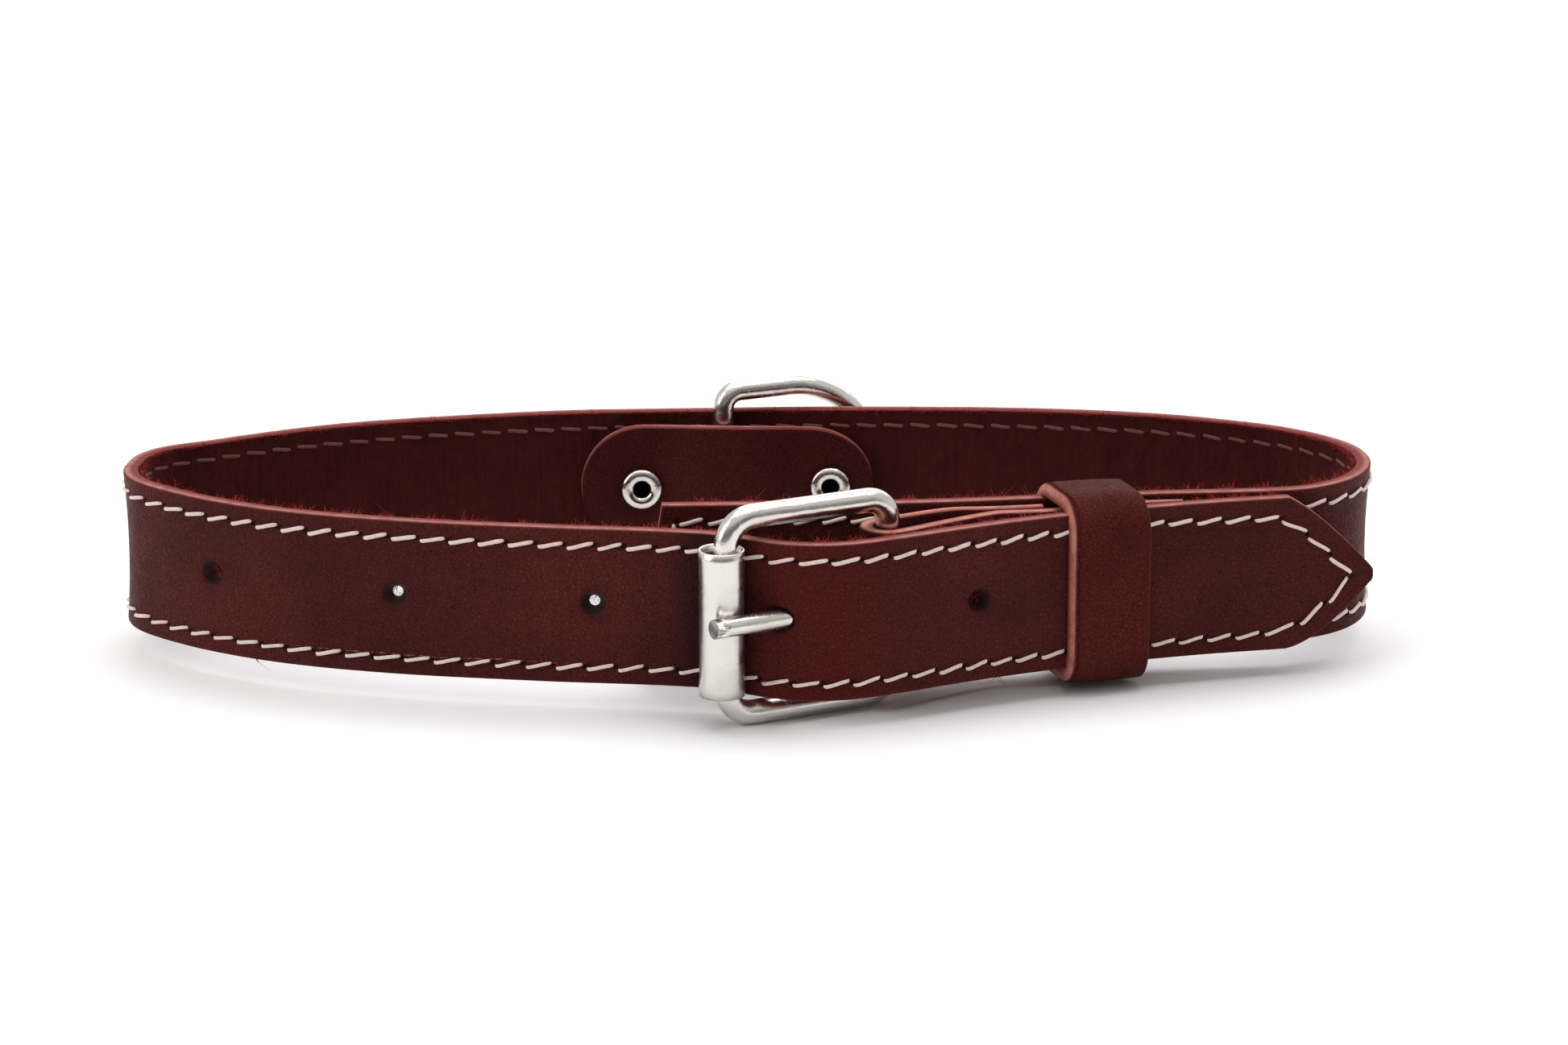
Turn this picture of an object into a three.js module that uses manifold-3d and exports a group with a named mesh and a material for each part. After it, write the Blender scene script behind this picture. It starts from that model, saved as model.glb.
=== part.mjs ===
// Leather dog collar with a roller buckle, a keeper loop and a D-ring, fastened and standing on its lower edge.
// Millimetres and degrees. +Z is up, +X runs to the right along the buckle side, +Y points to the back.
import * as THREE from 'three';
import { mergeVertices } from 'three/addons/utils/BufferGeometryUtils.js';
import Module from 'manifold-3d';

const wasm = await Module();
wasm.setup();

// Strap
const strapLength = 578.6;
const strapWidth = 25;
const strapThickness = 2.5;
const tipLength = 14.5;
const tipNoseRadius = 1.6;
const tipDrop = 0.6;
const tipBulge = 1;
const shieldSlant = 9;

// Punched holes, counted from the one nearest the left end
const holeCount = 5;
const holePitch = 31.9;
const holeDiameter = 3.9;
const holeRise = 0.5;
const tongueHole = 3;
const tongueHoleFromTip = 99.8;

// Clearances
const pieceGap = 0.3;
const lapGap = 0.3;
const strapSeat = 1;

// Roller buckle
const frameWire = 3.9;
const frameLength = 28.3;
const frameHeadroom = 3.1;
const frameFrontCorner = 4.6;
const frameRearCorner = 3.6;
const frameHeading = 26.4;
const frontBarLeft = 9.35;
const frontBarBack = -0.08;
const rollerShortfall = 4.4;
const rollerDiameter = 7;
const rollerWall = 0.45;
const rollerFlare = 0.17;
const rollerSlack = 0.7;
const rollerDrop = 0.6;
const rollerLean = 189;
const tongueWire = 3.1;
const tongueHeading = 33;
const tongueSink = 0.4;
const tongueAhead = 13.4;
const tongueBend = 3;
const tongueTipRise = 0.4;
const eyeTurn = 268;

// Folded tab that holds the buckle
const chapeMargin = 0.5;
const chapeThickness = 2.2;
const chapeInnerEnd = 65;
const chapeTurn = 45;
const chapeCreep = 12;
const chapeOuterEnd = 88;
const slotSide = 0.4;

// Keeper loop
const keeperWidth = 13.5;
const keeperThickness = 2.2;
const keeperFromTip = 45.6;
const keeperEdgeGap = 0.5;
const keeperInnerCorner = 0.5;
const keeperOuterCorner = 4.2;

// D-ring with its riveted patch
const ringWire = 3.5;
const ringHeadroom = 2.2;
const ringReach = 26.7;
const ringCorner = 3;
const ringFromStart = 248.5;
const patchFromStart = 248;
const patchLength = 49.8;
const patchMargin = 1.6;
const patchThickness = 2.5;
const patchHump = 9;
const rivetMargin = 8.8;
const rivetsFromStart = 246.5;
const rivetFlange = 7;
const rivetBore = 2.8;
const rivetBarrel = 4;
const rivetCap = 8;
const rivetRoll = 1.1;
const rivetCapHeight = 1.3;

// How finely round shapes are cut
const wireSides = 12;
const lengthStep = 9;
const bendStep = 7;

const frameInnerHeight = strapWidth + frameHeadroom;
const rollerLength = frameInnerHeight - rollerShortfall;
const chapeWidth = strapWidth - 2 * chapeMargin;
const ringInnerHeight = strapWidth + ringHeadroom;
const patchHeight = strapWidth - 2 * patchMargin;
const rivetPitch = patchLength - 2 * rivetMargin;
const strapBottom = frameWire + strapSeat;
const strapMiddle = strapBottom + strapWidth / 2;
const punchHeight = strapMiddle + holeRise;
const frameMiddle = frameWire + frameInnerHeight / 2;
const ringMiddle = ringWire + ringInnerHeight / 2;
const wireOf = { frame: frameWire / 2, tongue: tongueWire / 2, ring: ringWire / 2 };

// The strap lies in a flat spiral. Each row is a stretch of it: its share of the strap and how far it turns left.
// The short straight row with its own length sets the free end one thickness outside the first turn.
const lapStep = strapThickness + lapGap;
const strapRun = [
  { place: 'shield under the buckle', share: 0.0677, bend: 0.5 },
  { place: 'front', share: 0.0434, bend: 7.3 },
  { place: 'front, under the keeper', share: 0.0497, bend: -5.7 },
  { place: 'right end', share: 0.0208, bend: 7 },
  { place: 'right end', share: 0.0208, bend: 38.7 },
  { place: 'right end', share: 0.0208, bend: 36.9 },
  { place: 'right end', share: 0.0226, bend: 38.9 },
  { place: 'right end', share: 0.0261, bend: 26.3 },
  { place: 'back, right', share: 0.0399, bend: 17.5 },
  { place: 'back, right', share: 0.0695, bend: 11.1 },
  { place: 'back, middle', share: 0.0806, bend: 3.1 },
  { place: 'back, left', share: 0.0782, bend: 15.3 },
  { place: 'back, left', share: 0.0347, bend: 10.1 },
  { place: 'left end', share: 0.0208, bend: 2.9 },
  { place: 'left end', share: 0.0184, bend: 51.7 },
  { place: 'left end, step of the lap', length: lapStep, bend: 0 },
  { place: 'left end', share: 0.0184, bend: 46.7 },
  { place: 'left end', share: 0.0243, bend: 15.7 },
  { place: 'front, left', share: 0.0434, bend: 19.2 },
  { place: 'front, left', share: 0.0709, bend: 9.5 },
  { place: 'front, left of the roller', share: 0.0295, bend: -5.3 },
  { place: 'behind the roller', share: 0.0122, bend: -23.4 },
  { place: 'tongue hole', share: 0.0156, bend: 23.5 },
  { place: 'over the tongue', share: 0.0191, bend: 31.4 },
  { place: 'free end', share: 0.0174, bend: 6.6 },
  { place: 'free end', share: 0.0278, bend: -2.3 },
  { place: 'free end, in the keeper', share: 0.0347, bend: -7.5 },
  { place: 'free end', share: 0.0347, bend: -3.9 },
  { place: 'tip', share: 0.0379, bend: -1.5 },
];
const runStart = { x: -23.9, y: 10, heading: 2 };

const radians = THREE.MathUtils.degToRad;

function along(heading) {
  return new THREE.Vector2(Math.cos(heading), Math.sin(heading));
}

// Away from the neck: to the right of the direction in which the strap runs.
function outward(heading) {
  return new THREE.Vector2(Math.sin(heading), -Math.cos(heading));
}

// Lays out the rows once: where each starts, its heading there and its curvature.
function layOut(rows) {
  const sharesSum = rows.reduce((sum, row) => sum + (row.share ?? 0), 0);
  const scale = (strapLength - lapStep) / sharesSum;
  const stretches = [];
  let point = new THREE.Vector2(runStart.x, runStart.y);
  let heading = radians(runStart.heading);
  let station = 0;
  for (const row of rows) {
    const length = row.length ?? row.share * scale;
    const bend = radians(row.bend);
    const stretch = { point, heading, station, length, bend };
    stretches.push(stretch);
    point = pointOn(stretch, length);
    heading += bend;
    station += length;
  }
  return stretches;
}

// A stretch is an arc, or a straight line where it doesn't turn.
function pointOn(stretch, distance) {
  const turn = stretch.bend * distance / stretch.length;
  const chord = turn === 0 ? distance : distance * Math.sin(turn / 2) / (turn / 2);
  return stretch.point.clone().addScaledVector(along(stretch.heading + turn / 2), chord);
}

const stretches = layOut(strapRun);

// The middle of the strap's thickness at a distance from its square end.
function strapAt(station) {
  const inside = THREE.MathUtils.clamp(station, 0, strapLength);
  let stretch = stretches[0];
  for (const next of stretches) {
    if (next.station <= inside) stretch = next;
  }
  const heading = stretch.heading + stretch.bend * (inside - stretch.station) / stretch.length;
  return { point: pointOn(stretch, inside - stretch.station), heading };
}

// A point at a distance outside the strap's middle line.
function besideStrap(station, distance) {
  const { point, heading } = strapAt(station);
  return point.addScaledVector(outward(heading), distance);
}

// Stations along the strap, closer together where it turns more.
function strapStations() {
  const stations = [0];
  for (const stretch of stretches) {
    const turnSteps = Math.abs(THREE.MathUtils.radToDeg(stretch.bend)) / bendStep;
    const steps = Math.ceil(Math.max(turnSteps, stretch.length / lengthStep));
    for (let step = 1; step <= steps; step++) {
      stations.push(stretch.station + stretch.length * step / steps);
    }
  }
  return stations;
}

function evenStations(from, to, step) {
  const steps = Math.ceil(Math.abs(to - from) / step);
  return Array.from({ length: steps + 1 }, (_, i) => from + (to - from) * i / steps);
}

// Geometry helpers

// One closed solid with shared corners, its faces pointing out and no faces without area.
function closedSolid(geometry) {
  const bare = geometry.clone();
  bare.deleteAttribute('normal');
  bare.deleteAttribute('uv');
  const merged = mergeVertices(bare, 1e-4);
  const place = merged.getAttribute('position');
  const corner = [0, 1, 2].map(() => new THREE.Vector3());
  const kept = [];
  let volume = 0;
  for (let i = 0; i < merged.index.count; i += 3) {
    const face = [0, 1, 2].map((k) => merged.index.getX(i + k));
    if (face[0] === face[1] || face[1] === face[2] || face[2] === face[0]) continue;
    face.forEach((vertex, k) => corner[k].fromBufferAttribute(place, vertex));
    volume += corner[0].dot(corner[1].clone().cross(corner[2]));
    kept.push(...face);
  }
  if (volume < 0) kept.reverse();
  merged.setIndex(kept);
  return merged;
}

function toManifold(geometry) {
  const solid = closedSolid(geometry);
  const vertProperties = new Float32Array(solid.getAttribute('position').array);
  const triVerts = new Uint32Array(solid.index.array);
  return new wasm.Manifold(new wasm.Mesh({ numProp: 3, vertProperties, triVerts }));
}

function fromManifold(manifold) {
  const mesh = manifold.getMesh();
  const geometry = new THREE.BufferGeometry();
  geometry.setAttribute('position', new THREE.BufferAttribute(new Float32Array(mesh.vertProperties), 3));
  geometry.setIndex(Array.from(mesh.triVerts));
  return geometry;
}

function cut(geometry, tools) {
  return fromManifold(tools.reduce((left, tool) => left.subtract(toManifold(tool)), toManifold(geometry)));
}

function join(geometry, pieces) {
  return fromManifold(pieces.reduce((sum, piece) => sum.add(toManifold(piece)), toManifold(geometry)));
}

// A band of leather that stands on edge: a plan line given as points with headings, made thick.
function standingBand(line, thickness, width, bottom) {
  const outer = line.map((at) => at.point.clone().addScaledVector(outward(at.heading), thickness / 2));
  const inner = line.map((at) => at.point.clone().addScaledVector(outward(at.heading), -thickness / 2));
  const shape = new THREE.Shape([...outer, ...inner.reverse()]);
  const geometry = new THREE.ExtrudeGeometry(shape, { depth: width, bevelEnabled: false, steps: 1 });
  return geometry.translate(0, 0, bottom);
}

// Places a shape drawn as (along the heading, up) on a plan point, extruded through the leather both ways.
function acrossBand(shape, point, heading, height, depth) {
  const run = along(heading);
  const normal = outward(heading);
  const geometry = new THREE.ExtrudeGeometry(shape, { depth, bevelEnabled: false, steps: 1 });
  geometry.translate(0, 0, -depth / 2);
  const basis = new THREE.Matrix4().makeBasis(
    new THREE.Vector3(run.x, run.y, 0),
    new THREE.Vector3(0, 0, 1),
    new THREE.Vector3(normal.x, normal.y, 0),
  );
  geometry.applyMatrix4(basis);
  return geometry.translate(point.x, point.y, height);
}

// A round hole straight through the leather.
function punch(point, heading, height, diameter, depth) {
  return acrossBand(new THREE.Shape(circlePoints(diameter / 2)), point, heading, height, depth);
}

function circlePoints(radius) {
  return evenStations(0, 2 * Math.PI, 2 * Math.PI / wireSides).slice(0, -1)
    .map((angle) => along(angle).multiplyScalar(radius));
}

// A bent wire: straight and round stretches in one plane, each cut into its own number of steps.
class WirePath extends THREE.Curve {
  constructor(points) {
    super();
    this.points = points;
  }

  getPoint(t, target = new THREE.Vector3()) {
    const at = THREE.MathUtils.clamp(t, 0, 1) * (this.points.length - 1);
    const index = Math.min(Math.floor(at), this.points.length - 2);
    return target.lerpVectors(this.points[index], this.points[index + 1], at - index);
  }

  getTangent(t, target = new THREE.Vector3()) {
    const last = this.points.length - 1;
    const index = Math.round(THREE.MathUtils.clamp(t, 0, 1) * last);
    const before = this.points[Math.max(index - 1, 0)];
    const after = this.points[Math.min(index + 1, last)];
    return target.subVectors(after, before).normalize();
  }

  getUtoTmapping(u) {
    return u;
  }
}

function wire(points, radius) {
  const section = new THREE.Shape(circlePoints(radius));
  const extrudePath = new WirePath(points);
  return new THREE.ExtrudeGeometry(section, { extrudePath, steps: points.length - 1, bevelEnabled: false });
}

// An upright frame of wire in the plane (along the heading, up), bent from flat points and butted in its first side.
function wireLoop(flat, centre, heading, height, radius) {
  const run = along(heading);
  const place = (p) => new THREE.Vector3(centre.x + run.x * p.x, centre.y + run.y * p.x, height + p.y);
  const points = flat.map(place);
  const butt = pieceGap / 2;
  points[0].z += butt;
  points[points.length - 1].z -= butt;
  const weld = new THREE.CylinderGeometry(radius * 0.9, radius * 0.9, 4 * butt, wireSides);
  weld.rotateX(Math.PI / 2);
  weld.translate(centre.x + run.x * flat[0].x, centre.y + run.y * flat[0].x, height + flat[0].y);
  return join(wire(points, radius), [weld]);
}

function arcPoints(centre, radius, from, to, steps) {
  return evenStations(from, to, Math.abs(to - from) / steps)
    .map((angle) => along(angle).multiplyScalar(radius).add(centre));
}

// Strap: pointed tip, slanted square end, punched holes, and the way of the tongue through its hole.
const tongueStation = strapLength - tongueHoleFromTip;
const holeStations = Array.from({ length: holeCount }, (_, i) => tongueStation + (i - tongueHole) * holePitch);
const cutDepth = strapThickness + 0.9 * lapGap;

// The buckle's place is set from the mouth of the tongue's hole, in the direction of the x axis and of the y axis.
const tongueRun = along(radians(tongueHeading));
const holeMouth = besideStrap(tongueStation, strapThickness / 2 - tongueSink);
const eyeRadius = wireOf.frame + pieceGap + wireOf.tongue;
const frontBar = holeMouth.clone().add(new THREE.Vector2(-frontBarLeft, frontBarBack));
const rearBar = frontBar.clone().addScaledVector(along(radians(frameHeading)), frameLength);
const rollerAxis = frontBar.clone().addScaledVector(along(radians(rollerLean)), rollerSlack);

// The tongue is straight through the hole, then bends a little to meet the rear bar's eye.
const tongueTip = holeMouth.clone().addScaledVector(tongueRun, -tongueAhead);
const tongueKnee = holeMouth.clone().addScaledVector(tongueRun, tongueBend);
const kneeToBar = rearBar.clone().sub(tongueKnee);
const eyeHeading = kneeToBar.angle() - Math.asin(eyeRadius / kneeToBar.length());

function tipWaste(side) {
  const corner = new THREE.Vector2(-tipLength, side * strapWidth / 2);
  const nose = new THREE.Vector2(-0.6 * tipNoseRadius, side * tipNoseRadius - tipDrop);
  const swell = nose.clone().add(corner).multiplyScalar(0.5);
  swell.add(new THREE.Vector2(tipBulge, side * tipBulge));
  const margin = side * (strapWidth / 2 + strapThickness);
  const shape = new THREE.Shape();
  shape.moveTo(corner.x, corner.y);
  shape.quadraticCurveTo(swell.x, swell.y, nose.x, nose.y);
  shape.quadraticCurveTo(0, nose.y - 0.4 * side * tipNoseRadius, 0, -tipDrop);
  shape.lineTo(strapThickness, -tipDrop);
  shape.lineTo(strapThickness, margin);
  shape.lineTo(-tipLength, margin);
  const { point, heading } = strapAt(strapLength);
  return acrossBand(new THREE.Shape(shape.getPoints(4)), point, heading, strapMiddle, cutDepth);
}

function shieldWaste() {
  const half = strapWidth / 2 + strapThickness;
  const lean = half * Math.tan(radians(shieldSlant));
  const past = -strapThickness;
  const corners = [[past, -half], [0, -half], [2 * lean, half], [past, half]];
  const shape = new THREE.Shape(corners.map(([x, y]) => new THREE.Vector2(x, y)));
  const { point, heading } = strapAt(0);
  return acrossBand(shape, point, heading, strapMiddle, cutDepth);
}

function tonguePassage() {
  const radius = wireOf.tongue + pieceGap;
  const end = tongueKnee.clone().addScaledVector(along(eyeHeading), eyeRadius);
  return wire(heights([tongueTip, tongueKnee, end]), radius);
}

// The tongue's plan points with their heights: level from the knee on, its tip a little higher.
function heights(plan) {
  return plan.map((p, i) => new THREE.Vector3(p.x, p.y, punchHeight + (i === 0 ? tongueTipRise : 0)));
}

const rivetStations = [-1, 1].map((side) => rivetsFromStart + side * rivetPitch / 2);
const rivetHole = rivetBarrel + 2 * pieceGap;

function makeStrap() {
  const band = standingBand(strapStations().map(strapAt), strapThickness, strapWidth, strapBottom);
  const holes = holeStations.map((station) => {
    const { point, heading } = strapAt(station);
    return punch(point, heading, punchHeight, holeDiameter, cutDepth);
  });
  const rivetHoles = rivetStations.map((station) => {
    const { point, heading } = strapAt(station);
    return punch(point, heading, strapMiddle, rivetHole, cutDepth);
  });
  return cut(band, [...holes, ...rivetHoles, tonguePassage(), tipWaste(1), tipWaste(-1), shieldWaste()]);
}

// Folded tab: along the strap's outer face, round the rear bar and back over itself.
function makeChape() {
  const innerLeaf = strapThickness / 2 + 1.3 * pieceGap + chapeThickness / 2;
  const outerLeaf = innerLeaf + chapeThickness + 1.3 * pieceGap;
  const noseRadius = wireOf.frame + pieceGap + chapeThickness / 2;
  const nose = evenStations(radians(122), radians(308), radians(31))
    .map((angle) => along(angle).multiplyScalar(noseRadius).add(rearBar));
  const toTurn = evenStations(chapeInnerEnd, chapeTurn + 5, 5).map((station) => besideStrap(station, innerLeaf));
  const fromTurn = evenStations(chapeTurn + chapeCreep, chapeInnerEnd, 4).map((station) => besideStrap(station, outerLeaf));
  const drop = chapeOuterEnd - chapeInnerEnd;
  const guide = [
    ...toTurn,
    ...nose,
    ...fromTurn,
    besideStrap(chapeInnerEnd + 0.22 * drop, outerLeaf - 0.5 * chapeThickness),
    besideStrap(chapeInnerEnd + 0.45 * drop, innerLeaf + 0.12 * chapeThickness),
    besideStrap(chapeInnerEnd + 0.7 * drop, innerLeaf),
    besideStrap(chapeOuterEnd, innerLeaf),
  ];
  const curve = new THREE.CatmullRomCurve3(guide.map((p) => new THREE.Vector3(p.x, p.y, 0)), false, 'centripetal');
  const steps = 60;
  const line = evenStations(0, 1, 1 / steps).map((t) => {
    const point = curve.getPointAt(t);
    const tangent = curve.getTangentAt(t);
    return { point: new THREE.Vector2(point.x, point.y), heading: Math.atan2(tangent.y, tangent.x) };
  });
  const band = standingBand(line, chapeThickness, chapeWidth, strapMiddle - chapeWidth / 2);
  const slotRadius = eyeRadius + wireOf.tongue + pieceGap;
  const slot = new THREE.CylinderGeometry(slotRadius, slotRadius, tongueWire + 2 * slotSide, 2 * wireSides);
  slot.rotateX(Math.PI / 2);
  slot.translate(rearBar.x, rearBar.y, punchHeight);
  return cut(band, [slot]);
}

// Keeper: a loop of leather round both runs of the strap, flat on the free end.
function makeKeeper() {
  const middle = strapLength - keeperFromTip;
  const { point, heading } = strapAt(middle);
  const normal = outward(heading);
  const run = along(heading);
  const reaches = (from, to, distance) => evenStations(from, to, 0.5)
    .map((station) => besideStrap(station, distance).sub(point))
    .filter((p) => Math.abs(p.dot(run)) < keeperWidth / 2 + 0.5)
    .map((p) => p.dot(normal));
  const free = reaches(middle - keeperWidth, strapLength, strapThickness / 2);
  const firstTurn = reaches(0, chapeOuterEnd, -strapThickness / 2);
  const front = Math.max(...free) + pieceGap;
  const back = Math.min(...firstTurn) - pieceGap;
  const halfHeight = strapWidth / 2 + keeperEdgeGap;
  const loop = roundedRectangle(back, front, halfHeight, keeperThickness, keeperOuterCorner);
  loop.holes.push(roundedRectangle(back, front, halfHeight, 0, keeperInnerCorner));
  const flat = new THREE.Shape(loop.getPoints(4));
  flat.holes.push(new THREE.Path(loop.holes[0].getPoints(2)));
  const geometry = new THREE.ExtrudeGeometry(flat, { depth: keeperWidth, bevelEnabled: false, steps: 1 });
  geometry.translate(0, 0, -keeperWidth / 2);
  const basis = new THREE.Matrix4().makeBasis(
    new THREE.Vector3(normal.x, normal.y, 0),
    new THREE.Vector3(0, 0, 1),
    new THREE.Vector3(-run.x, -run.y, 0),
  );
  geometry.applyMatrix4(basis);
  return geometry.translate(point.x, point.y, strapMiddle);
}

function roundedRectangle(low, high, halfHeight, grow, corner) {
  const left = low - grow;
  const right = high + grow;
  const top = halfHeight + grow;
  const shape = new THREE.Shape();
  shape.moveTo(left + corner, -top);
  shape.lineTo(right - corner, -top);
  shape.absarc(right - corner, -top + corner, corner, -Math.PI / 2, 0, false);
  shape.lineTo(right, top - corner);
  shape.absarc(right - corner, top - corner, corner, 0, Math.PI / 2, false);
  shape.lineTo(left + corner, top);
  shape.absarc(left + corner, top - corner, corner, Math.PI / 2, Math.PI, false);
  shape.lineTo(left, -top + corner);
  shape.absarc(left + corner, -top + corner, corner, Math.PI, 1.5 * Math.PI, false);
  return shape;
}

// Buckle frame: a rounded rectangle of wire, butted inside the roller.
function makeFrame() {
  const halfLength = frameLength / 2;
  const halfHeight = (frameInnerHeight + frameWire) / 2;
  const corner = (end, side, radius) => new THREE.Vector2(end * (halfLength - radius), side * (halfHeight - radius));
  const quarter = Math.PI / 2;
  const flat = [
    new THREE.Vector2(-halfLength, 0),
    ...arcPoints(corner(-1, 1, frameFrontCorner), frameFrontCorner, 2 * quarter, quarter, 5),
    ...arcPoints(corner(1, 1, frameRearCorner), frameRearCorner, quarter, 0, 5),
    ...arcPoints(corner(1, -1, frameRearCorner), frameRearCorner, 0, -quarter, 5),
    ...arcPoints(corner(-1, -1, frameFrontCorner), frameFrontCorner, -quarter, -2 * quarter, 5),
    new THREE.Vector2(-halfLength, 0),
  ];
  const centre = frontBar.clone().add(rearBar).multiplyScalar(0.5);
  return wireLoop(flat, centre, radians(frameHeading), frameMiddle, wireOf.frame);
}

// Roller: a thin tube with flared mouths on the front bar.
function makeRoller() {
  const outer = rollerDiameter / 2;
  const inner = outer - rollerWall;
  const half = rollerLength / 2;
  const mouth = 1.6;
  const profile = [
    [inner, -half + mouth], [inner + rollerFlare, -half], [outer + rollerFlare, -half],
    [outer, -half + mouth], [outer, half - mouth], [outer + rollerFlare, half],
    [inner + rollerFlare, half], [inner, half - mouth], [inner, -half + mouth],
  ].map(([x, y]) => new THREE.Vector2(x, y));
  const tube = new THREE.LatheGeometry(profile, 2 * wireSides);
  tube.rotateX(Math.PI / 2);
  return tube.translate(rollerAxis.x, rollerAxis.y, frameMiddle - rollerDrop);
}

// Tongue: from its blunt tip over the roller, through the strap and round the rear bar.
function makeTongue() {
  const start = eyeHeading - Math.PI / 2;
  return wire(heights([tongueTip, tongueKnee, ...arcPoints(rearBar, eyeRadius, start, start + radians(eyeTurn), 12)]),
    wireOf.tongue);
}

// D-ring: its straight bar lies against the inside of the strap, its bow is swung to the right against the outside.
const ringBar = besideStrap(ringFromStart, -(strapThickness / 2 + pieceGap + wireOf.ring));
const bowRadius = (ringInnerHeight + ringWire) / 2;
const bowAtEdge = ringReach - bowRadius + Math.sqrt(bowRadius ** 2 - (strapWidth / 2) ** 2);
const ringLean = Math.asin((strapThickness + ringWire + 3.2 * pieceGap) / bowAtEdge);

function makeRing() {
  const heading = strapAt(ringFromStart).heading + Math.PI + ringLean;
  const bowCentre = new THREE.Vector2(ringReach - bowRadius, 0);
  const cornerHeight = bowRadius - ringCorner;
  const flat = [
    new THREE.Vector2(0, 0),
    ...arcPoints(new THREE.Vector2(ringCorner, cornerHeight), ringCorner, Math.PI, Math.PI / 2, 4),
    ...arcPoints(bowCentre, bowRadius, Math.PI / 2, -Math.PI / 2, 16),
    ...arcPoints(new THREE.Vector2(ringCorner, -cornerHeight), ringCorner, -Math.PI / 2, -Math.PI, 4),
    new THREE.Vector2(0, 0),
  ];
  return wireLoop(flat, ringBar, heading, ringMiddle, wireOf.ring);
}

// Patch: a round-ended strip inside the strap that humps over the ring's bar and is riveted on both sides of it.
function patchLift(distance) {
  const rise = ringWire + pieceGap;
  const flat = ringWire / 2;
  const share = THREE.MathUtils.clamp((Math.abs(distance) - flat) / (patchHump - flat), 0, 1);
  return rise * (1 + Math.cos(Math.PI * share)) / 2;
}

function makePatch() {
  const rest = strapThickness / 2 + pieceGap + patchThickness / 2;
  const line = evenStations(-patchLength / 2, patchLength / 2, 1.4).map((distance) => {
    const station = patchFromStart + distance;
    const at = (d) => besideStrap(station + d, -(rest + patchLift(station + d - ringFromStart)));
    const tangent = at(0.1).sub(at(-0.1));
    return { point: at(0), heading: tangent.angle() };
  });
  const band = standingBand(line, patchThickness, patchHeight, strapMiddle - patchHeight / 2);
  const { point, heading } = strapAt(patchFromStart);
  const outline = new THREE.Shape();
  const frameSize = patchLength;
  outline.moveTo(-frameSize, -frameSize);
  outline.lineTo(frameSize, -frameSize);
  outline.lineTo(frameSize, frameSize);
  outline.lineTo(-frameSize, frameSize);
  outline.holes.push(stadium(patchLength, patchHeight));
  const waste = acrossBand(outline, point, heading, strapMiddle, 2 * patchLength);
  const holes = rivetStations.map((station) => {
    const at = strapAt(station);
    return punch(at.point, at.heading, strapMiddle, rivetHole, 8 * patchThickness);
  });
  return cut(band, [waste, ...holes]);
}

function stadium(length, height) {
  const radius = height / 2;
  const side = length / 2 - radius;
  const right = arcPoints(new THREE.Vector2(side, 0), radius, -Math.PI / 2, Math.PI / 2, 10);
  const left = arcPoints(new THREE.Vector2(-side, 0), radius, Math.PI / 2, 1.5 * Math.PI, 10);
  return new THREE.Path([...right, ...left]);
}

// Tubular rivet: rolled end inside, plain cap outside. The profile runs from the bore to the cap's middle.
function makeRivet(station) {
  const capSeat = strapThickness / 2 + pieceGap;
  const flangeSeat = -(strapThickness / 2 + pieceGap + patchThickness + pieceGap);
  const bore = rivetBore / 2;
  const barrel = rivetBarrel / 2;
  const flange = rivetFlange / 2;
  const cap = rivetCap / 2;
  const profile = [
    [0, strapThickness / 2], [bore, strapThickness / 2], [bore, flangeSeat - 0.7 * rivetRoll],
    [(bore + flange) / 2, flangeSeat - rivetRoll], [flange - 0.4, flangeSeat - 0.8 * rivetRoll],
    [flange, flangeSeat - 0.35 * rivetRoll], [flange - 0.2, flangeSeat], [barrel, flangeSeat],
    [barrel, capSeat], [cap - 0.2, capSeat], [cap, capSeat + 0.3 * rivetCapHeight],
    [0.75 * cap, capSeat + 0.8 * rivetCapHeight], [0, capSeat + rivetCapHeight],
  ].map(([x, y]) => new THREE.Vector2(x, y));
  const { point, heading } = strapAt(station);
  const rivet = new THREE.LatheGeometry(profile, wireSides);
  rivet.rotateZ(heading - Math.PI);
  return rivet.translate(point.x, point.y, strapMiddle);
}

// Finishes
const finishes = {
  leather: { color: 0x4a1b1a, roughness: 0.5, metalness: 0 },
  nickel: { color: 0xc9c3b8, roughness: 0.22, metalness: 1 },
};

const group = new THREE.Group();

function addPiece(name, geometry, finish) {
  const mesh = new THREE.Mesh(closedSolid(geometry), new THREE.MeshStandardMaterial(finishes[finish]));
  mesh.name = name;
  mesh.geometry.computeVertexNormals();
  group.add(mesh);
}

addPiece('strap', makeStrap(), 'leather');
addPiece('buckle_chape', makeChape(), 'leather');
addPiece('keeper_loop', makeKeeper(), 'leather');
addPiece('buckle_frame', makeFrame(), 'nickel');
addPiece('buckle_roller', makeRoller(), 'nickel');
addPiece('buckle_tongue', makeTongue(), 'nickel');
addPiece('d_ring', makeRing(), 'nickel');
addPiece('ring_patch', makePatch(), 'leather');
addPiece('rivet_right', makeRivet(rivetStations[0]), 'nickel');
addPiece('rivet_left', makeRivet(rivetStations[1]), 'nickel');

// The origin is the middle of the collar's outline on the surface that it stands on.
const extent = new THREE.Box3().setFromObject(group);
const centre = extent.getCenter(new THREE.Vector3());
group.position.set(-centre.x, -centre.y, -extent.min.z);

export default group;
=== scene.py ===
import bpy
import bmesh
import random
from bisect import bisect_right
from math import asin, atan2, cos, pi, radians, sin, sqrt, tan
from mathutils import Matrix, Vector, noise
from mathutils.kdtree import KDTree


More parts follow.
